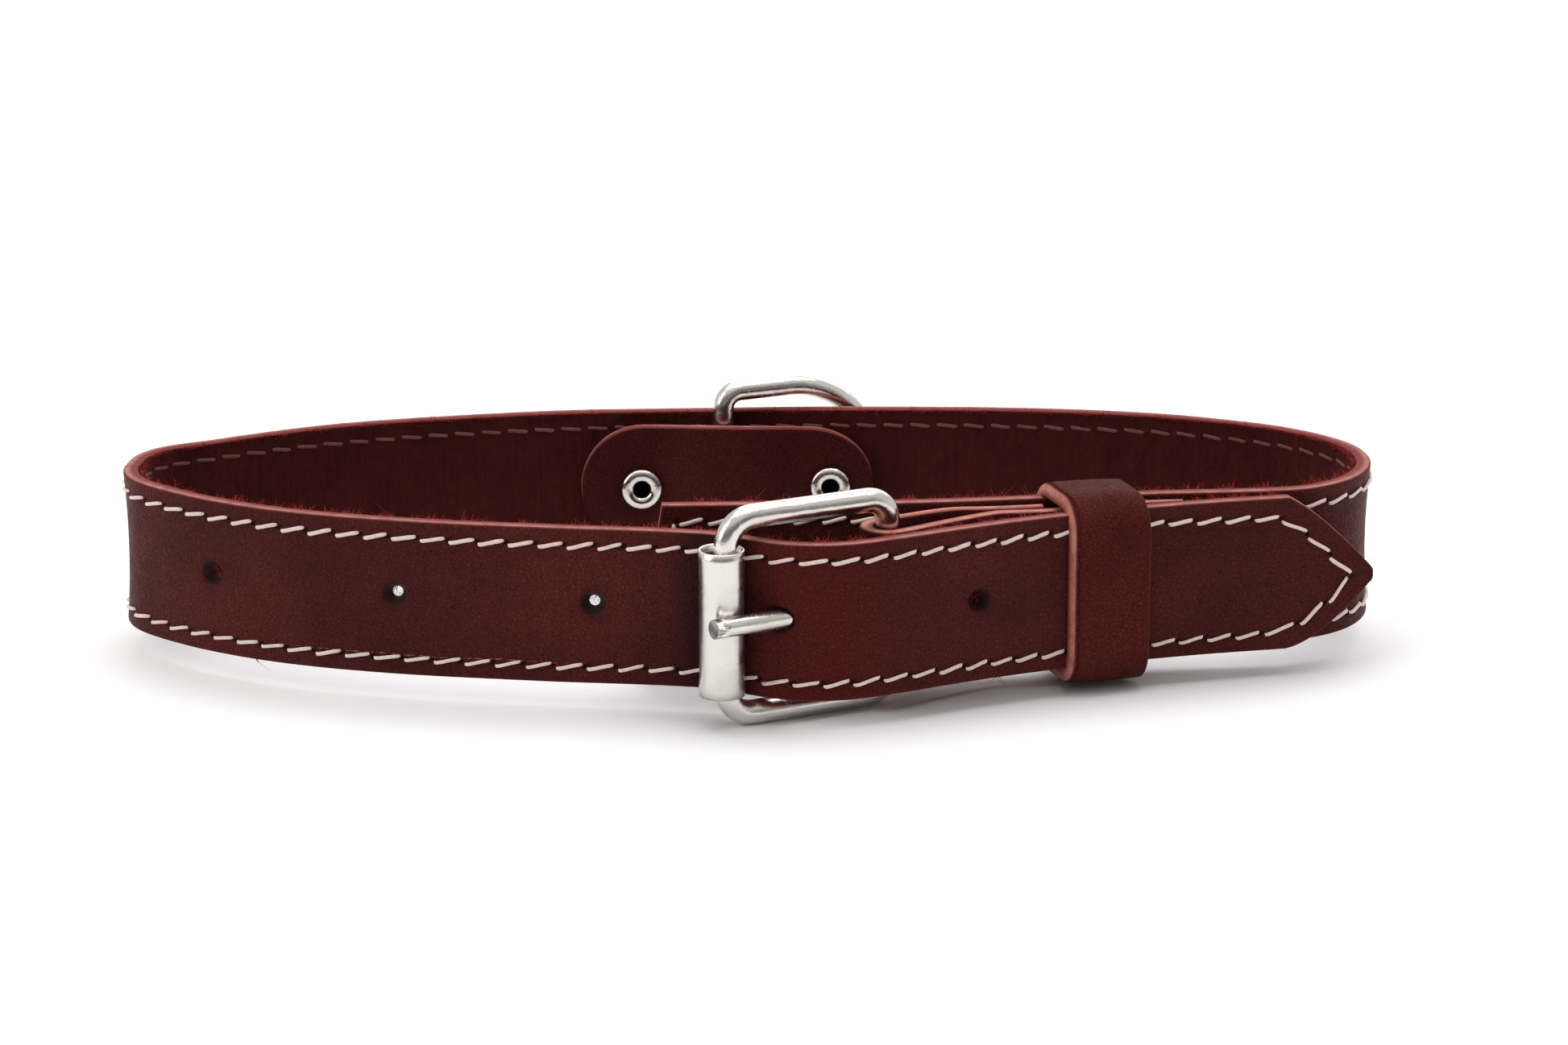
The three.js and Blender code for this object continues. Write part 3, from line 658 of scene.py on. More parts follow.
# Needle holes: one closed line of them inside the strap's rim, with a hole at every corner.
# A pair below is a needle hole's station and the number of stitches from it to the next pair's.
seam = {
    "pitch": 4.584, "inset": 2.8, "slant": 0.33, "swing": 1.15, "thread": 0.335, "thinEnd": 0.72, "flatness": 0.85,
    "dip": 0.15, "depth": 0.6, "half": 12.5, "snap": 0.8, "press": 0.3,
    "low": ((364.2, 7), (396.35, 13), (460.15, 4), (479.55, 2), (488.6, 4), (508.05, 3), (521.5, 8)),
    "top": ((562.7, 4), (543.2, 4), (523.35, 3), (509.4, 6), (480.45, 4), (461.3, 10), (414.25, 7), (382.05, 0)),
}


def needleHoles():
    top = strap["bottom"] + strap["width"] - seam["inset"]
    low = strap["bottom"] + seam["inset"]
    end = strap["length"]
    # each corner with the number of stitches that leads to the next, or 0 to count them from the pitch
    corners = [(shieldEdge(low) + seam["inset"], low, 0)] + [(x, low, steps) for x, steps in seam["low"]]
    corners += [(end - 18.75, low, 1), (end - 12.8, low + 1.3, 1), (end - 8, middle - 5.5, 1)]
    corners += [(end - 3.9, middle - 1.2, 1), (end - 7.5, middle + 2.7, 1), (end - 11.4, middle + 6.2, 1)]
    corners += [(x, top - (0.6 if x > end - 17 else 0), steps) for x, steps in seam["top"]]
    corners.append((shieldEdge(top) + seam["inset"], top, 0))
    points = []
    for (x, z, steps), (nextX, nextZ, _) in zip(corners, corners[1:] + corners[:1]):
        start, goal = Vector((x, z)), Vector((nextX, nextZ))
        steps = steps or max(round((goal - start).length / seam["pitch"]), 1)
        points += [start.lerp(goal, i / steps) for i in range(steps)]
    return points


# A punched hole is narrower on the flesh side.
def taperHole(vert, x, z, radius):
    away = sqrt(x ** 2 + z ** 2)
    if vert.co.y > 0 and 0.1 < away < radius + 3:
        pull = strap["holeTaper"] * max(1 - max(away - radius, 0) / 3, 0) / away
        vert.co.x -= x * pull
        vert.co.z -= z * pull


# The tongue's hole slopes through the leather, and its lip is pushed outwards.
def slopeTongueHole(vert, hole):
    x, z = vert.co.x, vert.co.z
    shift = (vert.co.y / strap["thickness"] + 0.5) * tongueShift
    far = max(holeDistance(hole, x - shift, z), 0)
    near = max(holeDistance(hole, x, z), 0)
    vert.co.x += shift * max(1 - min(near, far) / 5, 0)
    lip = max(1 - near / strap["lipReach"], 0) ** 1.4
    vert.co.y -= strap["lip"] * lip * (0.15 + 0.85 * unit((x - tongueMouth[0]) / 2.5 + 0.5))


# Moves the outside's nearest corner to each needle hole and presses it in.
def pressNeedleHoles(bm):
    needle = bm.verts.layers.float.new("needle")
    layer = [v for v in bm.verts if v.co.y < 0]
    tree = KDTree(len(layer))
    for i, vert in enumerate(layer):
        tree.insert((vert.co.x, 0, vert.co.z), i)
    tree.balance()
    for point in needleHoles():
        _, i, gap = tree.find((point.x, 0, point.y))
        if gap < seam["snap"]:
            layer[i].co.x, layer[i].co.z = point.x, point.y
            layer[i].co.y += seam["press"]
            layer[i][needle] = 1


def makeStrap():
    step = strap["holePitch"] / 28
    columns = rimRows + [0.9, 1.8]
    at = strap["firstHole"] % step
    while at < 2.4:
        at += step
    corner = strap["length"] - strap["tipLength"]
    while at < corner - 0.6 * step:
        columns.append(at)
        at += step
    columns += [corner + (strap["tipLength"] - 2.4) * i / 12 for i in range(13)]
    columns += [strap["length"] - offset for offset in (1.7, 1.15, 0.8, 0.5, 0.28, 0.12, 0.03, 0)]
    half = strap["width"] / 2
    rows = rowsAcross(half, [0.9, 1.8, 2.8, 3.7, 4.6, 5.7, 6.8, 7.94, 9.08, 10.22, 11.36])
    bm = flatSheet(columns, rows)
    holes = strapHoles()
    openHoles = holes[:-3]
    tongueHole = holes[-3:-2]
    for vert in bm.verts:  # rows lie a little higher in the middle, where the holes are
        vert.co.z += middle + strap["holeRise"] * (1 - (vert.co.z / half) ** 2)
    for x, z, rx, rz in openHoles + holes[-2:]:
        punchHole(bm, x, z, (3 * step, strap["holeBlock"]), (rx, rz))
    punchHole(bm, *tongueMouth, (4.5 * step, strap["holeBlock"]), tongueOval)

    def rimDistance(x, z):
        side = half - abs(z - middle)
        if x > corner:
            side = min(side, strap["length"] - x)
        return min(side, x, holeDistance(holes, x, z))

    thicken(bm, strap["thickness"], strap["edgeRound"], rimDistance)
    # Near the holes: rubbed wear on the grain side, and painted shade on the holes' cut walls.
    holeWearAndShade = bm.verts.layers.float.new("holeWearAndShade")
    bent = bm.verts.layers.float.new("bent")
    creaseAt, creaseReach = strap["crease"]
    for vert in bm.verts:
        x, z = vert.co.x, vert.co.z
        vert[holeWearAndShade] = max(1 - max(holeDistance(holes, x, z), 0) / strap["holeWearAndShadeReach"], 0)
        vert[bent] = max(1 - abs(x - creaseAt) / creaseReach, 0)
        for hx, hz, radius, _ in openHoles:
            taperHole(vert, x - hx, z - hz, radius)
        if abs(x - tongueStation - 2) < 12:
            slopeTongueHole(vert, tongueHole)
        up = z - middle
        if x > corner:
            reach = tipHalf(x, up > 0)
            share = (abs(up) / half) ** min(half / reach, 1.8)
            vert.co.z = middle - tipDropAt(x) + (reach * share if up > 0 else -reach * share)
        vert.co.x += shieldEdge(vert.co.z) * max(1 - x / strap["shieldReach"], 0)
    pressNeedleHoles(bm)
    for vert in bm.verts:
        x, z = vert.co.x, vert.co.z
        vert.co.y -= sway(x, z, half)
        vert.co.z += noise.noise(Vector((x * 0.04, 0, 8))) * 0.12 * abs((z - middle) / half)
    wrapOnStrap(bm.verts)
    finishPiece(bm, "strapLeather", "collar", ["strap", "strapEdge", "flesh"], ["strap"])


makeStrap()


# One stitch lying along x from 0 to 1, six-sided, with the thread's own map on it.
def stitchTemplate():
    bm = bmesh.new()
    lengths = [0, 0.05, 0.12, 0.22, 0.38, 0.62, 0.78, 0.88, 0.95, 1]
    path = [Vector((t, 0, 0)) for t in lengths]
    drawWire(bm, path, 1, 6)
    threadMap = bm.loops.layers.uv.new("flat")
    for face in bm.faces:
        turns = [atan2(loop.vert.co.z, loop.vert.co.y) / (2 * pi) % 1 for loop in face.loops]
        wraps = max(turns) - min(turns) > 0.5
        for loop, turn in zip(face.loops, turns):
            loop[threadMap].uv = (loop.vert.co.x, turn + 1 if wraps and turn < 0.5 else turn)
    return toMesh(bm, "stitchTemplate")


# One side's row of stitches. The side is -1 outside and 1 inside; each stitch rises proud of the leather
# in its middle, and starts its slack's share of the way from one needle hole to the next.
def makeSeam(name, coat, side, slant, proud, slack):
    template = stitchTemplate()
    points = needleHoles()
    bm = bmesh.new()
    surface = side * strap["thickness"] / 2
    for start, end in zip(points, points[1:] + points[:1]):
        stitch = addCopy(bm, template)
        run = end - start
        left = Vector((-run.y, run.x)).normalized()
        reach = slack + random.uniform(-0.02, 0.02)
        lean = slant * random.uniform(0.75, 1.25)
        fat = seam["thread"] * random.uniform(0.92, 1.06)
        for vert in stitch:
            t = vert.co.x
            swing = lean * (2 * (t * t * (3 - 2 * t)) - 1) * seam["swing"]
            away = min(min(t, 1 - t) / seam["dip"], 1)
            rise = proud - (proud + seam["depth"]) * (1 - away) ** 2
            thin = seam["thinEnd"] + (1 - seam["thinEnd"]) * away
            spot = start + run * (reach + (1 - 2 * reach) * t) + left * (swing + vert.co.y * fat * thin)
            height = rise + vert.co.z * fat * seam["flatness"]
            vert.co = (spot.x, surface + side * height - sway(spot.x, spot.y, seam["half"]), spot.y)
    wrapOnStrap(bm.verts)
    faceOutwards(bm)
    finishPiece(bm, name, "collar", [coat])
    bpy.data.meshes.remove(template)


makeSeam("seamOutside", "thread", -1, seam["slant"], 0.2, 0.045)
makeSeam("seamFleshSide", "fleshThread", 1, 0.14, -0.04, 0.08)


# The point at t on the way from a (reached at start) to b (reached at goal).
def between(a, b, start, goal, t):
    return a * ((goal - t) / (goal - start)) + b * ((t - start) / (goal - start))


# A centripetal curve through plan points, cut into even steps.
def smoothLine(points, steps):
    padded = [points[0] * 2 - points[1]] + points + [points[-1] * 2 - points[-2]]
    fine = []
    for a, b, c, d in zip(padded, padded[1:], padded[2:], padded[3:]):
        t1 = max((b - a).length, 1e-6) ** 0.5
        t2 = t1 + max((c - b).length, 1e-6) ** 0.5
        t3 = t2 + max((d - c).length, 1e-6) ** 0.5
        for k in range(16):
            t = t1 + (t2 - t1) * k / 16
            bc = between(b, c, t1, t2, t)
            abc = between(between(a, b, 0, t1, t), bc, 0, t2, t)
            bcd = between(bc, between(c, d, t2, t3, t), t1, t3, t)
            fine.append(between(abc, bcd, t1, t2, t))
    fine.append(points[-1])
    lengths = [0.0]
    for a, b in zip(fine, fine[1:]):
        lengths.append(lengths[-1] + (b - a).length)
    line = []
    for k in range(steps + 1):
        want = lengths[-1] * k / steps
        i = min(max(bisect_right(lengths, want) - 1, 0), len(fine) - 2)
        share = (want - lengths[i]) / max(lengths[i + 1] - lengths[i], 1e-9)
        line.append(fine[i].lerp(fine[i + 1], share))
    return line, lengths[-1]


# Bends a flat band (x along, y inwards, z up) along a plan line.
def bendAlong(verts, line, length, closed=False):
    last = len(line) - 1
    for vert in verts:
        at = vert.co.x / length * last
        i = min(max(int(at), 0), last - 1)
        before = line[i - 1] if i > 0 else (line[-2] if closed else line[0])
        after = line[i + 2] if i + 2 <= last else (line[1] if closed else line[last])
        first = (line[i + 1] - before).normalized()
        second = (after - line[i]).normalized()
        run = first.lerp(second, at - i).normalized()
        point = line[i].lerp(line[i + 1], at - i) + Vector((-run.y, run.x)) * vert.co.y
        vert.co = (point.x, point.y, vert.co.z)


def evenly(low, high, step):
    count = max(round(abs(high - low) / step), 1)
    return [low + (high - low) * i / count for i in range(count + 1)]


buckle = {
    "frontBar": (-3.181, -40.52), "rearBar": (22.168, -27.937), "wire": 1.95, "innerHeight": 28.1, "middle": 17.95,
    "frontCorner": 4.6, "rearCorner": 3.6,
}
rearBar = Vector(buckle["rearBar"])
frontBar = Vector(buckle["frontBar"])
chape = {
    "thickness": 2.2, "width": 24, "edgeRound": 0.4, "innerEnd": 65, "outerEnd": 88, "innerLie": 2.74,
    "outerLie": 5.33, "play": 0.3, "steps": 140, "slotHalf": 1.95, "slotReach": 5.4, "skived": 9,
}


# The folded tab: from its inner end forwards, round the rear bar, and back over itself down to the strap.
def makeChape():
    inner = chape["innerLie"]
    outer = chape["outerLie"]
    start = chape["innerEnd"]
    end = chape["outerEnd"] - start
    steps = chape["steps"]
    slotHalf = chape["slotHalf"]
    fold = buckle["wire"] + chape["play"] + chape["thickness"] / 2
    guide = [beside(start - d, inner) for d in (0, 5, 10, 15)]
    guide += arcPoints(rearBar, fold, radians(122), radians(308), 6)
    guide += [beside(start - d, outer) for d in (8, 4, 0)]
    guide += [beside(start + 0.22 * end, outer - 1.1), beside(start + 0.45 * end, inner + 0.27)]
    guide += [beside(start + 0.7 * end, inner), beside(chape["outerEnd"], inner)]
    line, length = smoothLine(guide, steps)
    slotted = [i for i, p in enumerate(line) if (p - rearBar).length < chape["slotReach"]]
    low = slotted[0] / steps * length
    high = slotted[-1] / steps * length
    half = chape["width"] / 2
    columns = [0, 0.15, 0.4] + evenly(1, low, 0.9) + evenly(low, high, 0.7)[1:] + evenly(high, length - 1, 0.9)[1:]
    columns += [length - 0.4, length - 0.15, length]
    inset = rimRows + [1, 2.2, 3.6, 5, 6.4, 7.8, 9.2]
    rows = [middle - half + d for d in inset] + [punchHeight - slotHalf, punchHeight + slotHalf]
    rows += [middle + half - d for d in reversed(inset)]
    bm = flatSheet(columns, rows)
    slot = [f for f in bm.faces if low < centreOf(f).x < high and abs(centreOf(f).z - punchHeight) < slotHalf - 0.05]
    bmesh.ops.delete(bm, geom=slot, context="FACES")

    def rimDistance(x, z):
        slotAway = max(low - x, x - high, abs(z - punchHeight) - slotHalf)
        return min(x, length - x, half - abs(z - middle), max(slotAway, 0) + 0.1)

    thicken(bm, chape["thickness"], chape["edgeRound"], rimDistance)
    for vert in bm.verts:  # the far end is skived thin
        thin = max((vert.co.x - length + chape["skived"]) / chape["skived"], 0)
        vert.co.y = vert.co.y * (1 - 0.55 * thin) + 0.35 * thin
        vert.co.y += noise.noise(Vector((vert.co.x * 0.12, vert.co.z * 0.1, 5))) * 0.08
    bendAlong(bm.verts, line, length)
    finishPiece(bm, "foldedTab", "collar", ["chape", "tanEdge", "flesh"], ["buckle_chape"])


makeChape()

keeper = {
    "station": 533.0, "width": 13.5, "thickness": 2.2, "edgeRound": 0.4, "halfHeight": 13.45, "corner": 4.8,
    "step": 0.7, "sag": 0.5, "slope": 0.04, "slant": 0.65, "pull": 0.16, "wobble": 0.15,
}


# The keeper's reach inwards and outwards is read from its solid; it is a closed loop round both runs.
def makeKeeper():
    point, heading = strapAt(keeper["station"])
    out = outwards2d(heading)
    run = heading2d(heading)
    reach = [(Vector(v.co[:2]) * 1000 - point).dot(out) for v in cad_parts["keeper_loop"].data.vertices]
    front = max(reach) - keeper["thickness"] / 2
    back = min(reach) + keeper["thickness"] / 2
    half = keeper["halfHeight"] + keeper["thickness"] / 2
    corner = keeper["corner"]
    line = []
    for x, y, start in ((front, half, pi / 2), (front, -half, 0), (back, -half, -pi / 2), (back, half, -pi)):
        centre = Vector((x - corner if x == front else x + corner, y - corner if y > 0 else y + corner))
        line += arcPoints(centre, corner, start, start - pi / 2, 12)
    line.reverse()
    fine = []
    for a, b in zip(line, line[1:] + line[:1]):
        steps = max(round((b - a).length / keeper["step"]), 1)
        fine += [a.lerp(b, i / steps) for i in range(steps)]
    fine.append(fine[0].copy())
    count = len(fine) - 1
    halfWidth = keeper["width"] / 2
    bm = flatSheet(evenly(0, count, 1), rowsAcross(halfWidth, [1, 2, 3.2, 4.5, 5.6]))
    thicken(bm, keeper["thickness"], keeper["edgeRound"], lambda x, z: halfWidth - abs(z), step=keeper["step"])
    bent = bm.verts.layers.float.new("bent")
    for vert in bm.verts:
        at = fine[min(max(round(vert.co.x), 0), count)]
        vert[bent] = unit((abs(at.y) - half + 3.6) / 3)
    joint = [f for f in bm.faces if not 0.01 < centreOf(f).x < count - 0.01]
    bmesh.ops.delete(bm, geom=joint, context="FACES")
    for vert in bm.verts:
        vert.co.y += keeper["pull"] * (vert.co.z / halfWidth) ** 2  # its rims pull in
        vert.co.z += noise.noise(Vector((vert.co.x * 0.07, 2, 6))) * keeper["wobble"] * abs(vert.co.z) / halfWidth
        if vert.co.z < 0.5 - halfWidth:  # its left rim is cut at a slant
            vert.co.z += keeper["slant"] * (0.5 - vert.co.y / keeper["thickness"])
    bendAlong(bm.verts, fine, count, closed=True)
    bmesh.ops.remove_doubles(bm, verts=bm.verts, dist=0.02)
    for vert in bm.verts:  # from (outwards, up, along) to its place round the strap
        spot = point + out * vert.co.x + run * vert.co.z
        vert.co = (spot.x, spot.y, middle - keeper["sag"] + vert.co.y - keeper["slope"] * vert.co.z)
    faceOutwards(bm)
    finishPiece(bm, "keeperLoop", "collar", ["keeper", "tanEdge", "flesh"], ["keeper_loop"])


makeKeeper()

patch = {
    "station": 248, "length": 49.8, "height": 21.8, "thickness": 2.5, "edgeRound": 0.4, "rest": 2.8, "rise": 3.8,
    "flat": 1.75, "hump": 12.5, "lean": 1.1, "raise": 0.25, "ring": 248.5, "holeBlock": (3.4, 3.3),
}


# How far the patch stands off the strap, at a distance from the ring's bar.
def patchLift(distance):
    share = unit((abs(distance) - patch["flat"]) / (patch["hump"] - patch["flat"]))
    return patch["rise"] * (1 + cos(pi * share)) / 2


def makePatch():
    half = patch["length"] / 2
    radius = patch["height"] / 2
    round1 = [radius * (1 - cos(pi / 2 * i / 12)) for i in range(13)]
    columns = [-half + d for d in round1] + evenly(-half + radius, half - radius, 0.9)[1:-1]
    columns += [half - d for d in reversed(round1)]
    bm = flatSheet(columns, rowsAcross(radius, [1, 2, 3.1, 4.2, 5.3, 6.4, 7.5, 8.6, 9.7]))
    holes = [(station - patch["station"], 0, strap["rivetHole"], strap["rivetHole"]) for station in strap["rivets"]]
    for x, z, rx, rz in holes:
        punchHole(bm, x, z, patch["holeBlock"], (rx, rz))

    def outline(x):
        over = abs(x) - (half - radius)
        return radius if over <= 0 else sqrt(max(radius * radius - over * over, 0.01))

    def rimDistance(x, z):
        return min(radius - abs(z), half - abs(x), holeDistance(holes, x, z))

    thicken(bm, patch["thickness"], patch["edgeRound"], rimDistance)
    for vert in bm.verts:
        x, z = vert.co.x, vert.co.z
        near = unit(holeDistance(holes, x, z) / 3)
        target = z * (outline(x) / radius)
        vert.co.z = z + (target - z) * (1 if abs(x) > half - 4 else near)
        vert.co.y += noise.noise(Vector((x * 0.12, z * 0.12, 9))) * 0.1
    for vert in bm.verts:
        station = patch["station"] + vert.co.x
        vert.co.x = station
        lift = patchLift(station - patch["ring"])
        above = max(vert.co.z / radius, 0)
        lean = 1 - (vert.co.x - patch["station"] + half) / patch["length"]
        vert.co.z += middle + above * (patch["raise"] * lift - patch["lean"] * lean * above)
        vert.co.y += patch["rest"] + lift
    wrapOnStrap(bm.verts)
    finishPiece(bm, "ringPatch", "collar", ["flesh", "strapEdge", "patch"], ["ring_patch"])


makePatch()

rivet = {
    "bore": 1.4, "barrel": 2.0, "flange": 3.5, "flangeSeat": -4.35, "flangeDepth": 0.35, "roll": 1.05,
    "rollHeight": 0.72, "cap": 4.0, "capSeat": 1.55, "capHeight": 1.25, "capRim": 0.3,
}


# Tubular rivet: a rolled flange inside, a low dome outside. Its profile is turned, then laid through the strap.
def makeRivet(name, station, node):
    seat = rivet["flangeSeat"]
    steps = range(11)
    rollAcross = [rivet["bore"] + rivet["roll"] - rivet["roll"] * cos(pi * i / 10) for i in steps]
    rollDown = [seat - rivet["flangeDepth"] - rivet["rollHeight"] * sin(pi * i / 10) for i in steps]
    domeRise = rivet["capHeight"] - rivet["capRim"]
    dome = [(rivet["cap"] * cos(a), rivet["capSeat"] + rivet["capRim"] + domeRise * sin(a))
            for a in (pi / 2 * i / 8 for i in range(9))]
    profile = [(0, 1.0), (rivet["bore"] - 0.2, 1.0), (rivet["bore"], 0.6)] + list(zip(rollAcross, rollDown))
    profile += [(rivet["flange"] - 0.05, seat - 0.05), (rivet["flange"] - 0.3, seat), (rivet["barrel"], seat)]
    profile += [(rivet["barrel"], rivet["capSeat"]), (rivet["cap"] - 0.1, rivet["capSeat"])] + dome
    profile[-1] = (0, profile[-1][1])
    bm = turnProfile(profile, 40)
    point, heading = strapAt(station)
    out = outwards2d(heading).to_3d()
    run = heading2d(heading).to_3d()
    turned = Matrix((run, out.cross(run), out)).transposed().to_4x4()
    centre = Vector((point.x, point.y, middle))
    bmesh.ops.transform(bm, matrix=Matrix.Translation(centre) @ turned, verts=bm.verts)
    faceOutwards(bm)
    # the faces inside the bore take the near-black material as painted shade
    for face in bm.faces:
        offset = centreOf(face) - centre
        depth = offset.dot(out)
        if (offset - out * depth).length < rivet["bore"] + 0.05 and seat - 0.2 < depth < 1.2:
            face.material_index = 1
    finishPiece(bm, name, "collar", ["rivetNickel", "bore"], [node])


makeRivet("rivetRight", strap["rivets"][0], "rivet_right")
makeRivet("rivetLeft", strap["rivets"][1], "rivet_left")


# Stands flat points (along, up) in an upright plane.
def standingLoop(flat, centre, heading, height):
    run = heading2d(heading)
    return [Vector((centre.x + run.x * p.x, centre.y + run.y * p.x, height + p.y)) for p in flat]


def straight(start, end, steps):
    return [start.lerp(end, i / steps) for i in range(1, steps)]


# A closed loop round corners of (centre, radius, first angle), started and ended beside the first one.
def roundedLoop(corners, steps):
    flat = []
    for centre, radius, start in corners:
        arc = arcPoints(centre, radius, start, start - pi / 2, steps)
        if flat:
            flat += straight(flat[-1], arc[0], 6)
        flat += arc
    first = Vector((flat[0].x, 0))
    return [first] + straight(first, flat[0], 3) + flat + straight(flat[-1], first, 3) + [first.copy()]


def makeFrame():
    length = (rearBar - frontBar).length / 2
    high = buckle["innerHeight"] / 2 + buckle["wire"]
    corners = []
    for side, up, radius, start in (
            (-1, 1, buckle["frontCorner"], pi), (1, 1, buckle["rearCorner"], pi / 2),
            (1, -1, buckle["rearCorner"], 0), (-1, -1, buckle["frontCorner"], -pi / 2)):
        corners.append((Vector((side * (length - radius), up * (high - radius))), radius, start))
    flat = roundedLoop(corners, 10)
    centre = (frontBar + rearBar) / 2
    heading = atan2(rearBar.y - frontBar.y, rearBar.x - frontBar.x)
    bm = bmesh.new()
    drawWire(bm, standingLoop(flat, centre, heading, buckle["middle"]), buckle["wire"], 28, closed=True)
    finishPiece(bm, "buckleFrame", "collar", ["nickel"], ["buckle_frame"])


makeFrame()

roller = {"axis": (-3.872, -40.630), "low": 5.5, "high": 29.2, "radius": 3.56, "wall": 0.45, "flare": 0.12}


def makeRoller():
    outer = roller["radius"]
    length = roller["high"] - roller["low"]
    profile = []
    for i in range(17):
        t = i / 16
        waist = roller["flare"] * (2 * abs(t - 0.5)) ** 5 - 0.05 * cos(pi * (t - 0.5))
        profile.append((outer + waist, roller["low"] + 0.06 + (length - 0.12) * t))
    inner = [(r - roller["wall"], z) for r, z in reversed(profile)]
    lipTop = (profile[-1][0] - roller["wall"] / 2, roller["high"])
    lipLow = (profile[0][0] - roller["wall"] / 2, roller["low"])
    bm = turnProfile(profile + [lipTop] + inner + [lipLow, profile[0]], 64)
    bmesh.ops.translate(bm, vec=(*roller["axis"], 0), verts=bm.verts)
    finishPiece(bm, "buckleRoller", "roller", ["rollerNickel"], ["buckle_roller"])


makeRoller()

tongue = {
    "wire": 1.55, "ahead": 13.4, "bend": 3, "tipRise": 0.4, "play": 0.3, "eyeTurn": 268, "mouth": (6.169, -40.44),
    "sawnRound": 0.16,
}


# Tongue: a sawn blunt tip over the roller, through the strap, then an open eye round the rear bar.
def makeTongue():
    mouth = Vector(tongue["mouth"])
    run = heading2d(radians(strap["tongueHeading"]))
    tip = mouth - run * tongue["ahead"]
    knee = mouth + run * tongue["bend"]
    eye = buckle["wire"] + tongue["play"] + tongue["wire"]
    toBar = rearBar - knee
    heading = atan2(toBar.y, toBar.x) - asin(eye / toBar.length)
    loop = arcPoints(rearBar, eye, heading - pi / 2, heading - pi / 2 + radians(tongue["eyeTurn"]), 26)
    plan = [tip, tip + run * 0.12] + [tip.lerp(knee, t) for t in (0.15, 0.35, 0.55, 0.75)]
    plan += [mouth + run * d for d in (2.0, 2.7, 3.4)] + [knee.lerp(loop[0], t) for t in (0.3, 0.6)] + loop
    total = (knee - tip).length
    path = [p.to_3d() for p in plan]
    for i, p in enumerate(plan):  # only its straight shank rises towards the tip
        path[i].z = punchHeight + tongue["tipRise"] * max(1 - (p - tip).length / total, 0) * (i < 9)
    bm = bmesh.new()
    drawWire(bm, path, tongue["wire"], 24)
    ends = sorted((f for f in bm.faces if len(f.verts) > 4), key=lambda f: (centreOf(f) - path[0]).length)
    rims = [e for f in ends for e in f.edges]
    ends[0].material_index = 1
    bmesh.ops.bevel(
        bm, geom=rims, affect="EDGES", offset=tongue["sawnRound"], segments=2, profile=0.5, material=-1)
    finishPiece(bm, "buckleTongue", "collar", ["nickel", "sawn"], ["buckle_tongue"])


makeTongue()

ring = {
    "bar": (-4.433, 37.116), "heading": 22.5, "wire": 1.75, "reach": 27.8, "bow": 16.05, "corner": 3, "middle": 17.9,
}


# The ring's flat path starts in the middle of its straight bar and goes round by the upper corner.
def makeRing():
    bow = ring["bow"]
    corner = ring["corner"]
    hub = ring["reach"] - bow
    start = Vector((0, 0))
    flat = [start] + straight(start, Vector((0, bow - corner)), 5)
    flat += arcPoints(Vector((corner, bow - corner)), corner, pi, pi / 2, 8)
    flat += straight(Vector((corner, bow)), Vector((hub, bow)), 4)
    flat += arcPoints(Vector((hub, 0)), bow, pi / 2, -pi / 2, 44)
    flat += straight(Vector((hub, -bow)), Vector((corner, -bow)), 4)
    flat += arcPoints(Vector((corner, corner - bow)), corner, -pi / 2, -pi, 8)
    flat += straight(Vector((0, corner - bow)), start, 5) + [start]
    path = standingLoop(flat, Vector(ring["bar"]), radians(ring["heading"]), ring["middle"])
    bm = bmesh.new()
    drawWire(bm, path, ring["wire"], 24, closed=True)
    finishPiece(bm, "leadRing", "ring", ["nickel"], ["d_ring"])


makeRing()

# A stray tuft is (station, height, distance inwards).
fuzz = {
    "count": 9800, "length": (0.3, 1.05), "radius": 0.08, "inset": 0.25, "inwards": 1.12,
    "perHole": 18, "holeLength": (0.7, 2.0), "holeEdge": 1.25, "fineRadius": 0.07, "strayLength": (1.2, 2.9),
    "stray": [(391, 4.9, -1.3), (470.5, 4.95, -1.0), (514, 4.9, -1.2), (577, 17.5, -0.6)],
}


# One loose fibre lying along z, three-sided and pointed.
def fibreTemplate():
    bm = bmesh.new()
    bmesh.ops.create_cone(bm, segments=3, radius1=1, radius2=0.25, depth=1, cap_ends=True)
    bmesh.ops.translate(bm, vec=(0, 0, 0.5), verts=bm.verts)
    uprights = [e for e in bm.edges if abs(e.verts[0].co.z - e.verts[1].co.z) > 0.5]
    bmesh.ops.subdivide_edges(bm, edges=uprights, cuts=2)
    return toMesh(bm, "fibreTemplate")


